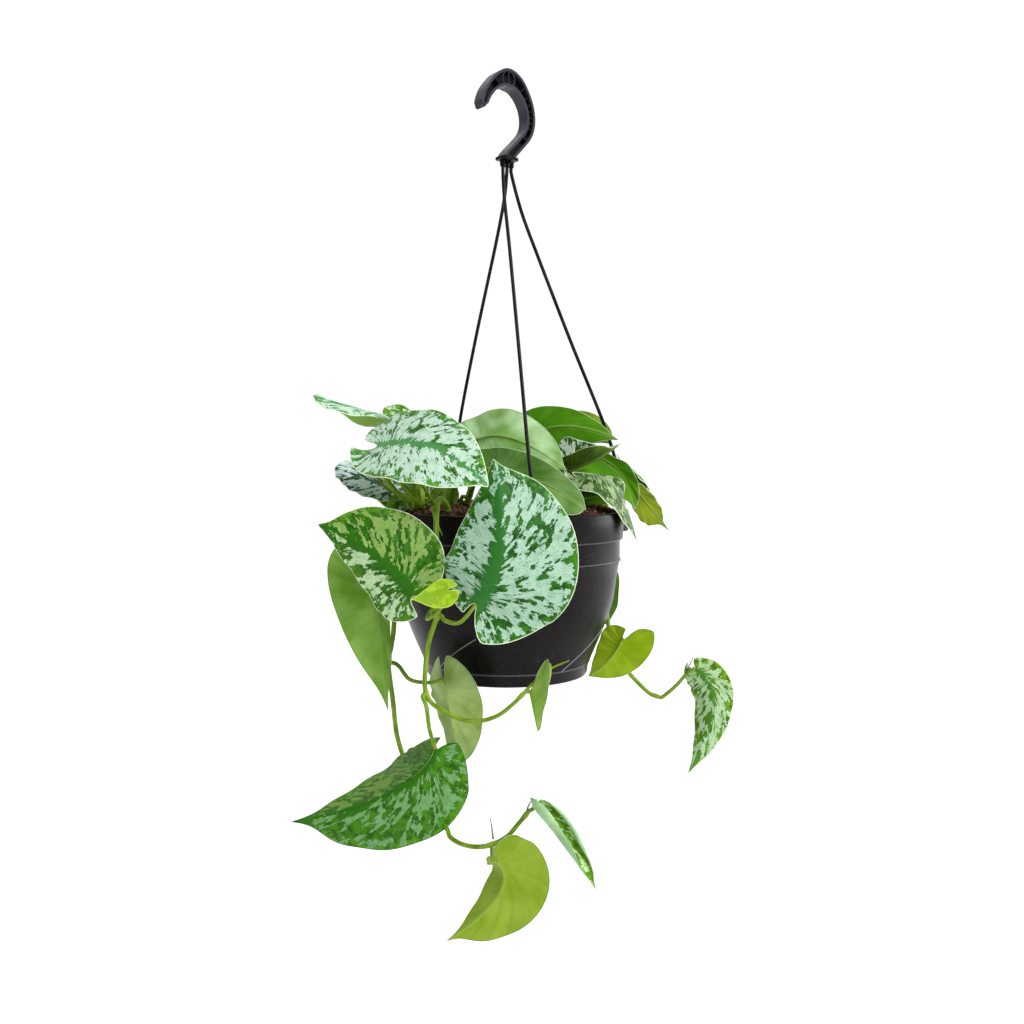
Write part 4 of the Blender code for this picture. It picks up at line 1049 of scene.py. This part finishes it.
def hook_shell():
    """The hook: an I-shaped section carried along its route, a plate and three sockets.

    The section's twelve corners are given by half its depth, half its width, the flange and the
    pocket, and it stands square to the route.
    """
    shell = Shell()
    fine = smooth(HOOK_ROUTE, HOOK_STEP)
    places, pocket = hook_stations(fine)
    turn = math.radians(HOOK_TURN)
    across = np.array([math.cos(turn), math.sin(turn), 0.0])
    normal = np.array([-math.sin(turn), math.cos(turn), 0.0])
    share = travelled(places[:, :2])
    ways = np.gradient(fine[:, :2], axis=0)
    steps = np.linspace(0, 1, len(fine))
    way = unit(np.column_stack([np.interp(share / share[-1], steps, ways[:, k]) for k in range(2)]))
    deep = places[:, 2] / 2 * np.sqrt(1 - (1 - np.clip(share / HOOK_NOSE, 0.03, 1))**2)
    wide = np.full(len(deep), HOOK_WIDTH / 2)
    web = deep - FLANGE
    near = [(-deep, -wide), (-web, -wide), (-web, -pocket), (web, -pocket), (web, -wide), (deep, -wide)]
    corners = near + [(a, -b) for a, b in reversed(near)]
    a, b = (np.stack(part, 1)[..., None] for part in zip(*corners))
    side = (across * -way[:, 1:] + UP * way[:, :1])[:, None]
    centre = (across * places[:, :1] + UP * places[:, 1:2])[:, None]
    # The flanges' outer corners carry a painted highlight through the line value.
    rim = np.isclose(np.abs(b[..., 0]), HOOK_WIDTH / 2)
    numbers = shell.grid(centre + side * a + normal * b, wrap=True, line=rim * 1.0)
    shell.add_faces(numbers[:1, ::-1])
    shell.add_faces(numbers[-1:])
    hook_ring(shell, across, normal)
    hook_plate(shell, across, normal)
    return shell


def hook_ring(shell, across, normal):
    """A ring with an upright bar in the pocket at the top of the hook, on both faces."""
    x, z, radius = HOOK_RING
    loop = circle(40)
    loop = np.vstack([loop, loop[:1]])
    for face in (-1, 1):
        centre = across * x + UP * z + normal * face * (HOOK_WIDTH / 2 - RING_DEPTH)
        ring = centre + radius * (loop[:, :1] * across + loop[:, 1:] * UP)
        # Ring and bar carry a painted highlight, a line value of 0.8.
        shell.tube(ring, np.full(len(ring), RING_THICK), 8, line=0.8)
        for end in (centre + radius * UP, centre - radius * UP):
            shell.tube(np.linspace(centre, end, 6), np.full(6, BAR_THICK), 8, line=0.8)


def hook_plate(shell, across, normal):
    """The plate under the hook and its sockets.

    The plate's loops are rounded rectangles, and a socket's are circles: up its outside from the
    plate, over its end and back up inside the bore.
    """
    ring = circle(ROUND_STEPS)
    long, wide, thick = HOOK_PLATE
    heights = np.array([-0.5, -0.4, 0.4, 0.5]) * thick + HOOK_PLATE_Z
    inset = np.array([PLATE_INSET, 0.0, 0.0, PLATE_INSET])
    loops = squared(ring, PLATE_SQUARE) * (np.array([long, wide]) / 2 - inset[:, None])[:, None]
    points = loops[..., :1] * across + loops[..., 1:] * normal
    points[..., 2] += heights[:, None]
    numbers = shell.grid(points, wrap=True, flip=True)
    shell.cap(numbers[0], (0, 0, heights[0]))
    shell.cap(numbers[-1], (0, 0, heights[-1]), flip=True)
    top = HOOK_PLATE_Z - thick / 2 + 0.5
    low = top - SOCKET_LENGTH
    bore = WIRE_RADIUS + GAP
    profile = [(SOCKET_TOP, top), (SOCKET_END, low + 0.2), (SOCKET_END - 0.15, low), (bore, low),
               (bore, top)]
    for k in range(3):
        foot = across * (k - 1) * SOCKET_PITCH
        points = np.stack([foot + r * (ring[:, :1] * across + ring[:, 1:] * normal) + [0, 0, z]
                           for r, z in profile])
        socket = shell.grid(points, wrap=True)
        shell.cap(socket[-1], foot + [0, 0, top], flip=True)
        shell.cap(socket[0], foot + [0, 0, top])


def wire_shell(name):
    """One wire: a round rod along its route, from its socket into its lug."""
    turn = math.radians(LUG_ANGLES[name])
    foot = np.array([WIRE_CIRCLE * math.cos(turn), WIRE_CIRCLE * math.sin(turn)])
    seat = [(foot[0], foot[1], RIM_Z + drop) for drop in (6.0, 1.5, -4.0, GAP - BORE_DEPTH)]
    path = smooth(WIRES[name] + seat, 3.0)
    shell = Shell()
    shell.tube(path, np.full(len(path), WIRE_RADIUS), 20)
    return shell


# Plant

def stem_route(name):
    """A stem's route, with its foot set on the potting mix."""
    route = STEMS[name]["route"]
    x, y, _ = route[0]
    thick = STEMS[name]["radius"][0]
    foot = mix_height(math.hypot(x, y) - thick) + GAP
    return [(x, y, foot), (x, y, foot + thick)] + route[1:]


def stem_point(name, at):
    """Where a stem is at a point of its route, and its direction there, from the cubic's slope."""
    route = np.array(stem_route(name), float)
    index = min(int(at + 1), len(route) - 2)
    start, end = route[index:index + 2]
    leave, arrive = slopes(route)[index:index + 2]
    t = at + 1 - index
    way = ((6 * t**2 - 6 * t) * (start - end) + (3 * t**2 - 4 * t + 1) * leave
           + (3 * t**2 - 2 * t) * arrive)
    return cubic(start, end, leave, arrive, t), unit(way)


def stem_shell(name):
    """A stem: a round rod that thins along its route and swells where each leaf joins it."""
    path = smooth(stem_route(name), STEM_STEP)
    far = travelled(path)
    thick, thin = STEMS[name]["radius"]
    radii = thick + (thin - thick) * far / far[-1]
    joints = [stem_point(name, leaf["at"])[0] for leaf in LEAVES.values() if leaf["stem"] == name]
    away = np.linalg.norm(path[:, None] - np.array(joints)[None], axis=-1)
    node = np.exp(-(away / NODE_LENGTH)**2).max(1)
    uneven = 1 + 0.05 * lumps(path, 9.0, len(name))
    shell = Shell()
    shell.tube(path, (radii + NODE_SWELL * node) * uneven, STEM_SIDES, node=node[:, None] * 0.8)
    return shell


def midrib_controls(leaf):
    """A midrib's base, the control point that makes it pass through its middle, and its tip."""
    base, middle, tip = (np.array(leaf[place], float) for place in ("base", "mid", "tip"))
    return base, 2 * middle - (base + tip) / 2, tip


def by_side(pair, column):
    """The pair's first part on the left half of a blade and its second on the right half."""
    return np.where(column > 0, pair[1], pair[0])


def carried(side, start, way):
    """A side vector turned as the midrib turns from its start direction to each of the others: about
    the cross product of the two, by the angle between them."""
    axis = np.cross(start, way)
    across = np.cross(axis, side)
    return side + across + np.cross(axis, across) / (1 + (way @ start)[..., None])


def midrib(leaf, x):
    """Places on a leaf's midrib: a parabola, which bows the other way behind the base."""
    base, control, tip = midrib_controls(leaf)
    x = np.asarray(x, float)[..., None]
    bow = np.where(x > 0, 1.0, -1 / REACH) * (base - 2 * control + tip)
    return base + 2 * x * (control - base) + x**2 * bow


def heading(leaf, x):
    """Directions of a leaf's midrib, which blend from base to tip as the parabola's slope does."""
    base, control, tip = midrib_controls(leaf)
    inside = np.clip(x, 0, 1)[..., None]
    return unit((1 - inside) * (control - base) + inside * (tip - control))


def twisted(side, way, leaf, x):
    """A side vector turned about the midrib, by the leaf's twist from its base to its tip."""
    start, end = leaf.get("twist", (0.0, 0.0))
    angle = np.radians(start + (end - start) * np.clip(x, 0, 1))[..., None]
    return side * np.cos(angle) + np.cross(way, side) * np.sin(angle)


def from_midrib(steps):
    """Sums of the steps between columns, from the midrib outwards on each side."""
    left = np.cumsum(-steps[:, :LEAF_COLUMNS][:, ::-1], 1)[:, ::-1]
    return np.concatenate([left, 0 * steps[:, :1], np.cumsum(steps[:, LEAF_COLUMNS:], 1)], 1)


def blade_surface(leaf):
    """Middle surface of a heart-shaped blade, row by row from the notch to the tip.

    The outline is an egg that a notch cuts into at the stalk and that runs out into a point with a
    thin tail. A row is a vein, which leaves the midrib and bends towards the outline. A point is
    the midrib's point plus a curve over the vector to that side's widest place, which turns with
    the midrib. The curve bends down evenly towards the margin, and by the roll close to it.
    """
    t = np.arange(1, LEAF_ROWS)[:, None] / LEAF_ROWS
    row = 0.12 * t + 0.88 * (1 - np.cos(np.pi * t)) / 2
    count = np.arange(-LEAF_COLUMNS, LEAF_COLUMNS + 1)[None, :] / LEAF_COLUMNS
    column = np.sign(count) * (1 - (1 - np.abs(count))**COLUMN_CROWD)
    share = np.abs(column)
    turn = np.pi * row
    lobe = by_side(leaf.get("lobes", (LOBE, LOBE)), column)
    egg = by_side(leaf.get("egg", (EGG, EGG)), column)
    full = by_side(leaf.get("full", (FULL, FULL)), column)
    roll = np.radians(by_side(leaf.get("roll", (0.0, 0.0)), column))
    point, tail = leaf.get("point", POINT), leaf.get("tail", TAIL)
    body = 1 - point - tail
    outline_x = ((body - lobe) / 2 - (body + lobe) / 2 * np.cos(turn)
                 + lobe * np.exp(-(turn / NOTCH)**2) + point * np.exp((turn - np.pi) / ROUNDING)
                 + tail * np.exp((turn - np.pi) / TAIL_ROUNDING))
    outline_q = np.sin(turn)**full * (1 + egg * np.cos(turn)) / (1 + egg**2 / 2)
    start = 0.25 * row + 0.75 * row**4
    bend = (start + outline_x) / 2 + VEIN_SWEEP * np.cos(turn)
    x = (1 - share)**2 * start + 2 * share * (1 - share) * bend + share**2 * outline_x
    q = share * outline_q
    way = heading(leaf, x)
    first = heading(leaf, np.array(WIDEST))
    left, right = (twisted(carried(np.array(leaf[half], float), first, way), way, leaf, x)
                   for half in ("left", "right"))
    is_right = (column > 0)[..., None]
    side = np.where(is_right, right, left)
    upper = unit(np.cross(np.where(is_right, right, -left), way))
    length = np.linalg.norm(side, axis=-1, keepdims=True)
    cup = by_side([2 * CUP / np.linalg.norm(leaf[half]) for half in ("left", "right")], column)
    arc = (cup * q + roll * share**3 * outline_q)[..., None]
    steps = np.diff(q, axis=1)[..., None]
    outwards, downwards = (from_midrib((rate[:, 1:] + rate[:, :-1]) / 2 * steps)
                           for rate in (np.cos(arc), np.sin(arc)))
    points = midrib(leaf, x) + side * outwards - upper * length * downwards
    rolled = np.cos(arc) * upper + np.sin(arc) * side / length
    return points, rolled, dict(row=row + 0 * share, share=share, x=x, column=column + 0 * row)


def distance_to_line(points, line):
    """Distance from each point to the nearest place on a broken line."""
    start, step = line[:-1], np.diff(line, axis=0)
    gap = points[..., None, :] - start
    along = np.clip((gap * step).sum(-1) / np.maximum((step**2).sum(-1), 1e-9), 0, 1)
    return np.linalg.norm(gap - along[..., None] * step, axis=-1).min(-1)


def surface_normals(points, guide):
    """Normals of a grid of points, on the side that the guide points to."""
    made = unit(np.cross(np.gradient(points, axis=0), np.gradient(points, axis=1)))
    return made * np.where((made * guide).sum(-1, keepdims=True) < 0, -1.0, 1.0)


def relief(points, at, rib, leaf, seed):
    """How far a blade rises and falls: a groove along the midrib, swells between the side veins,
    waves along the margin and a gentle unevenness."""
    height, count = leaf.get("wave", (0.8, 5.0))
    swell, veins = SWELLS
    rise, size = UNEVEN
    groove = -GROOVE * np.exp(-(rib / 1.1)**2)
    between = np.sin(np.pi * at["share"])**2 * np.sin(2 * np.pi * (at["row"] * veins + seed * 0.37))
    shift = by_side((0.4, 0.0), at["column"])
    waves = at["share"]**3 * np.sin(2 * np.pi * (at["row"] * count + shift + seed * 0.61))
    fade = np.sin(np.pi * np.clip(at["row"], 0, 1))
    return (groove + swell * between + height * waves + rise * lumps(points, size, seed)) * fade


def petiole_path(leaf, joint):
    """The petiole's way: out of the stem and along the stalk to its joint under the blade's base."""
    stem = STEMS[leaf["stem"]]
    place, way = stem_point(leaf["stem"], leaf["at"])
    stalk = leaf["stalk"]
    aim = np.array(stalk[0] if stalk else leaf["base"], float) - place
    at_end = leaf["at"] >= len(stem["route"]) - 1
    out = way if at_end else unit(aim - way * (aim @ way))
    skin = 0.0 if at_end else stem["radius"][0]
    return smooth([place, place + out * (skin + GAP + SPROUT), *stalk, joint], PETIOLE_STEP)


def leaf_shell(leaf, seed, settings):
    """One leaf: two sheets that meet at the margin, and the petiole that runs on as the midrib."""
    shell = Shell()
    points, guide, at = blade_surface(leaf)
    base, _, tip = midrib_controls(leaf)
    outline = np.vstack([base, points[:, 0], tip, points[::-1, -1], base])
    margin = distance_to_line(points, outline)
    rib = distance_to_line(points, midrib(leaf, np.linspace(0, 1, 60)))
    normals = surface_normals(points, guide)
    points = points + normals * relief(points, at, rib, leaf, seed)[..., None]
    around = float(travelled(outline)[-1]) / 2
    values = dict(girth=at["row"] * around, margin=margin, rib=rib, along=at["x"], vein=at["row"],
                  reach=from_midrib(np.linalg.norm(np.diff(points, axis=1), axis=-1)))
    thick = settings.thickness / MM / 2 * np.clip(margin / 0.7, 0, 1)[..., None]
    upper = shell.add_points(points + normals * thick, **values)
    inner = shell.add_points((points - normals * thick)[:, 1:-1],
                             **{key: value[:, 1:-1] for key, value in values.items()})
    lower = np.hstack([upper[:, :1], inner, upper[:, -1:]])
    edge = dict(reach=0.0, margin=0.0, rib=0.0)
    first = shell.add_points(base[None], girth=0.0, along=0.0, vein=0.0, **edge)[0]
    last = shell.add_points(tip[None], girth=around, along=1.0, vein=1.0, **edge)[0]
    for sheet, finish, flip in ((upper, 0, True), (lower, 1, False)):
        cells = quads(sheet)
        shell.add_faces(cells[:, ::-1] if flip else cells, finish)
        shell.add_faces(fan(first, sheet[0], flip=not flip), finish)
        shell.add_faces(fan(last, sheet[-1], flip=flip), finish)
    add_petiole(shell, leaf, points, guide, at, settings.petiole_radius / MM)
    return shell


def add_petiole(shell, leaf, points, guide, at, radius):
    """The petiole, and the midrib that it runs on as, which thins out just under the blade."""
    share = np.linspace(0.03, 0.93, 40)
    spots = at["x"][:, LEAF_COLUMNS]
    upward, rib_line = (np.column_stack([np.interp(share, spots, grid[:, LEAF_COLUMNS, k])
                                         for k in range(3)]) for grid in (guide, points))
    fine = radius * 0.55 * (1 - share)**0.8 + 0.08
    keel = rib_line - upward * (fine[:, None] + 0.15)
    stalk = petiole_path(leaf, leaf["base"] - upward[0] * radius)
    path = np.vstack([stalk, keel])
    far = travelled(path)
    grown = travelled(stalk) / travelled(stalk)[-1]
    radii = np.concatenate([radius * (1.25 - 0.25 * grown**0.5), fine])
    node = np.exp(-(far / 3.5)**2) * 0.7
    shell.tube(path, radii, PETIOLE_SIDES, finish=2, last=(len(stalk), 1), node=node[:, None],
               along=(far / far[-1])[:, None], margin=10.0, rib=1.0)


# Settings

def colour_setting(name, description, code):
    """A colour that a user may change."""
    return bpy.props.FloatVectorProperty(name=name, description=description, subtype="COLOR", size=3,
                                         min=0.0, max=1.0, default=shade(code))


def length_setting(name, description, millimetres):
    """A length that a user may change."""
    return bpy.props.FloatProperty(name=name, description=description, unit="LENGTH", min=0.0,
                                   default=millimetres * MM, precision=4)


class PotSettings(bpy.types.PropertyGroup):
    """Finish of the pot."""

    colour: colour_setting("Plastic", "Main colour of the pot", "#0c0809")
    dull: colour_setting("Dull plastic", "Colour of its dull patches", "#140f11")
    # This pale grey also paints the highlight along the pot's ridges, swirl lines and lugs.
    dust: colour_setting("Dust", "Colour of the dust", "#8a8690")


class HangerSettings(bpy.types.PropertyGroup):
    """Finish of the hook and wires."""

    hook: colour_setting("Hook", "Colour of the hook", "#08080c")
    wire: colour_setting("Wire", "Colour of the wires", "#0e0e12")
    bevel: length_setting("Edge", "Width of the hook's rounded edges", 0.28)


class MixSettings(bpy.types.PropertyGroup):
    """Potting mix."""

    crumbs: bpy.props.IntProperty(name="Crumbs", description="How many loose bits lie on the mix",
                                  default=2600, min=0, max=8000)
    dark: colour_setting("Dark", "Colour of wet peat", "#1e0f0c")
    red: colour_setting("Red", "Colour of the bark", "#5a2a1c")
    pale: colour_setting("Pale", "Colour of the fibres", "#a06a4c")


class PlantSettings(bpy.types.PropertyGroup):
    """Leaves and stems."""

    thickness: length_setting("Blade", "Thickness of a blade", 0.7)
    petiole_radius: length_setting("Petiole", "Radius of a petiole under the blade", 1.25)
    margin_width: length_setting("Margin", "Width of the pale line along a blade's edge", 0.5)
    margin: colour_setting("Margin line", "Colour of that line", "#dbe8c8")
    deep: colour_setting("Deep green", "Darkest green of a blade", "#1f5208")
    vein: colour_setting("Vein", "Colour of the veins below", "#9cba60")
    stem: colour_setting("Stem", "Main green of the stems", "#567a0c")
    stem_pale: colour_setting("Pale stem", "Streaks on the stems", "#86a030")
    stem_dark: colour_setting("Dark stem", "Shaded patches on the stems", "#3a5f08")
    node: colour_setting("Node", "Colour where a leaf joins", "#8fa83a")


class StageSettings(bpy.types.PropertyGroup):
    """Floor, light and camera."""

    floor_drop: length_setting("Floor", "Height of the hook's seat above the floor", 2100.0)
    floor_size: length_setting("Floor size", "Length of the floor's side", 60000.0)
    key: bpy.props.FloatProperty(name="Key light", description="Power of the high light", default=2.0)
    side: bpy.props.FloatProperty(name="Side light", description="Power of the low light", default=1.8)
    camera_distance: length_setting("Distance", "Camera's distance from the hook's seat", 784.3)
    camera_drop: length_setting("Camera drop", "How far the camera is below the seat", 267.0)


class PothosSettings(bpy.types.PropertyGroup):
    """Everything that can be changed."""

    pot: bpy.props.PointerProperty(type=PotSettings)
    hanger: bpy.props.PointerProperty(type=HangerSettings)
    mix: bpy.props.PointerProperty(type=MixSettings)
    plant: bpy.props.PointerProperty(type=PlantSettings)
    stage: bpy.props.PointerProperty(type=StageSettings)


def plant_colours(settings):
    """The plant's shared colours, with the margin's width in millimetres."""
    names = ("margin", "deep", "vein", "stem", "stem_pale", "stem_dark", "node")
    made = {name: tuple(getattr(settings, name)) for name in names}
    made["margin_width"] = settings.margin_width / MM
    return made


def add_leaf(name, piece, leaf, seed, settings, petiole, nodes=()):
    """Put a leaf into the scene, with finishes of its own for its two faces."""
    colours = plant_colours(settings)
    look = LOOKS[leaf["look"]]
    finishes = [upper_finish(name, look, seed * 1.7, colours),
                under_finish(name, look, seed * 1.7, colours), petiole]
    add_piece(piece, leaf_shell(leaf, seed, settings).mesh(piece, finishes, sharp=70), nodes)


# Operators

class POTHOS_OT_pot(bpy.types.Operator):
    """Build the pot with its lugs, swirl lines and drain holes"""

    bl_idname = "pothos.pot"
    bl_label = "Pot"

    def execute(self, context):
        finish = pot_finish(context.scene.pothos.pot)
        add_piece("pot_body", pot_shell().mesh("pot_body", [finish], sharp=50), ["pot"])
        return {"FINISHED"}


class POTHOS_OT_hook(bpy.types.Operator):
    """Build the ribbed hook with its plate and sockets"""

    bl_idname = "pothos.hook"
    bl_label = "Hook"

    def execute(self, context):
        settings = context.scene.pothos.hanger
        finish = gloss_finish("hook_plastic", settings.hook, 0.2, 9.0)
        mesh = hook_shell().mesh("hook_body", [finish], sharp=30)
        piece = add_piece("hook_body", mesh, ["hanger_hook"])
        edge = piece.modifiers.new("Edges", "BEVEL")
        edge.width = settings.bevel
        edge.segments = 2
        edge.limit_method = "ANGLE"
        edge.angle_limit = math.radians(50)
        return {"FINISHED"}


class POTHOS_OT_wires(bpy.types.Operator):
    """Build the three wires between hook and pot"""

    bl_idname = "pothos.wires"
    bl_label = "Wires"

    def execute(self, context):
        finish = gloss_finish("wire_plastic", context.scene.pothos.hanger.wire, 0.3, 14.0)
        for name in WIRES:
            mesh = wire_shell(name).mesh(f"wire_{name}", [finish], sharp=50)
            add_piece(f"wire_{name}", mesh, [f"hanger_wire_{name}"])
        return {"FINISHED"}


class POTHOS_OT_mix(bpy.types.Operator):
    """Build the potting mix and its loose crumbs"""

    bl_idname = "pothos.mix"
    bl_label = "Potting mix"

    def execute(self, context):
        settings = context.scene.pothos.mix
        mesh = mix_shell(settings).mesh("mix_mound", [mix_finish(settings)])
        add_piece("mix_mound", mesh, ["potting_mix"])
        return {"FINISHED"}


class POTHOS_OT_stems(bpy.types.Operator):
    """Build the trailing vines and the crowns"""

    bl_idname = "pothos.stems"
    bl_label = "Stems"

    def execute(self, context):
        finish = stem_finish("stem_green", plant_colours(context.scene.pothos.plant))
        for name in STEMS:
            mesh = stem_shell(name).mesh(f"{name}_stem", [finish], sharp=50)
            add_piece(f"{name}_stem", mesh, [name])
        return {"FINISHED"}


class POTHOS_OT_leaves(bpy.types.Operator):
    """Build every leaf with its petiole"""

    bl_idname = "pothos.leaves"
    bl_label = "Leaves"

    def execute(self, context):
        settings = context.scene.pothos.plant
        petiole = stem_finish("petiole_green", plant_colours(settings), 4.0)
        for seed, (name, leaf) in enumerate(LEAVES.items()):
            add_leaf(name, f"{name}_blade", leaf, seed, settings, petiole, [name])
        return {"FINISHED"}


class POTHOS_OT_sprouts(bpy.types.Operator):
    """Build the growth inside the plant, the white roots and the dry tendrils"""

    bl_idname = "pothos.sprouts"
    bl_label = "Sprouts"

    def execute(self, context):
        settings = context.scene.pothos.plant
        colours = plant_colours(settings)
        green = stem_finish("sprout_green", colours, 9.0)
        for seed, (name, leaf) in enumerate(INNER_LEAVES.items(), 60):
            add_leaf(name, name, leaf, seed, settings, green)
        root = stem_finish("root_white", dict(colours, **ROOT_COLOURS), 3.0)
        dry = stem_finish("tendril_dry", dict(colours, **DRY_COLOURS), 5.0)
        for group, finish, slot in ((INNER_STALKS, green, "leaf"), (ROOTS, root, "stem"),
                                    (TENDRILS, dry, "stem")):
            for name, stalk in group.items():
                path = smooth(stalk["route"], 1.2)
                shell = Shell()
                shell.tube(path, np.linspace(*stalk["radius"], len(path)), 14)
                add_piece(f"sprout_{name}", shell.mesh(f"sprout_{name}", [finish], sharp=60))
        return {"FINISHED"}


class POTHOS_OT_stage(bpy.types.Operator):
    """Set up the floor, the light and the camera"""

    bl_idname = "pothos.stage"
    bl_label = "Stage"

    def execute(self, context):
        scene = context.scene
        settings = scene.pothos.stage
        link("floor", floor_mesh(settings.floor_size / 2, -settings.floor_drop))
        scene.world = bpy.data.worlds.new("studio")
        scene.world.use_nodes = True
        studio_light(scene.world.node_tree)
        for name, (spread, tilt, turn) in LIGHTS.items():
            lamp = bpy.data.lights.new(name, "SUN")
            lamp.energy = getattr(settings, name)
            lamp.angle = math.radians(spread)
            link(name, lamp).rotation_euler = (math.radians(tilt), 0.0, math.radians(turn))
        camera = bpy.data.cameras.new("camera")
        camera.sensor_width = 36.0
        camera.lens = LENS
        camera.shift_x, camera.shift_y = SHIFT
        camera.clip_end = 200.0
        scene.camera = link("camera", camera)
        scene.camera.location = (0.0, -settings.camera_distance, -settings.camera_drop)
        scene.camera.rotation_euler = (math.radians(90), 0.0, 0.0)
        scene.view_settings.view_transform = "Standard"
        return {"FINISHED"}


def floor_mesh(half, low):
    """A square pale floor at a height."""
    made = bpy.data.meshes.new("floor")
    corners = [(-half, -half, low), (half, -half, low), (half, half, low), (-half, half, low)]
    made.from_pydata(corners, [], [(0, 1, 2, 3)])
    k = Recipe("floor_white")
    made.materials.append(k.finish(k.mix(k.noise(k.place(900.0), 1.0), "#fafafa", "#ffffff"), 0.9))
    return made


def studio_light(tree):
    """Light the world white behind, above and to the right, and dimmer in front on the left."""
    background = tree.nodes["Background"]
    where = tree.nodes.new("ShaderNodeTexCoord")
    facing = tree.nodes.new("ShaderNodeVectorMath")
    facing.operation = "DOT_PRODUCT"
    facing.inputs[1].default_value = BRIGHT_SIDE
    ramp = tree.nodes.new("ShaderNodeMapRange")
    ramp.interpolation_type = "SMOOTHSTEP"
    for socket, value in zip(ramp.inputs[1:5], (*BRIGHT_RAMP, DIM, BRIGHT)):
        socket.default_value = value
    tree.links.new(where.outputs["Generated"], facing.inputs[0])
    tree.links.new(facing.outputs["Value"], ramp.inputs[0])
    tree.links.new(ramp.outputs[0], background.inputs["Strength"])
    background.inputs["Color"].default_value = (1.0, 1.0, 1.0, 1.0)


class POTHOS_PT_panel(bpy.types.Panel):
    """Lists the operators"""

    bl_label = "Pothos"
    bl_idname = "POTHOS_PT_panel"
    bl_space_type = "VIEW_3D"
    bl_region_type = "UI"
    bl_category = "Pothos"

    def draw(self, context):
        for operator in OPERATORS:
            self.layout.operator(operator.bl_idname)


OPERATORS = (POTHOS_OT_pot, POTHOS_OT_hook, POTHOS_OT_wires, POTHOS_OT_mix, POTHOS_OT_stems,
             POTHOS_OT_leaves, POTHOS_OT_sprouts, POTHOS_OT_stage)
GROUPS = (PotSettings, HangerSettings, MixSettings, PlantSettings, StageSettings, PothosSettings)


def register():
    """Make the settings, operators and panel known to Blender."""
    for kind in GROUPS + OPERATORS + (POTHOS_PT_panel,):
        bpy.utils.register_class(kind)
    bpy.types.Scene.pothos = bpy.props.PointerProperty(type=PothosSettings)


def unregister():
    """Take them away again."""
    del bpy.types.Scene.pothos
    for kind in reversed(GROUPS + OPERATORS + (POTHOS_PT_panel,)):
        bpy.utils.unregister_class(kind)


def main():
    """Build everything."""
    register()
    for start in list(bpy.data.objects):
        if start.type in {"LIGHT", "CAMERA"} or start.name == "Cube":
            bpy.data.objects.remove(start)
    bpy.ops.pothos.pot()
    bpy.ops.pothos.hook()
    bpy.ops.pothos.wires()
    bpy.ops.pothos.mix()
    bpy.ops.pothos.stems()
    bpy.ops.pothos.leaves()
    bpy.ops.pothos.sprouts()
    bpy.ops.pothos.stage()


if __name__ == "__main__":
    main()
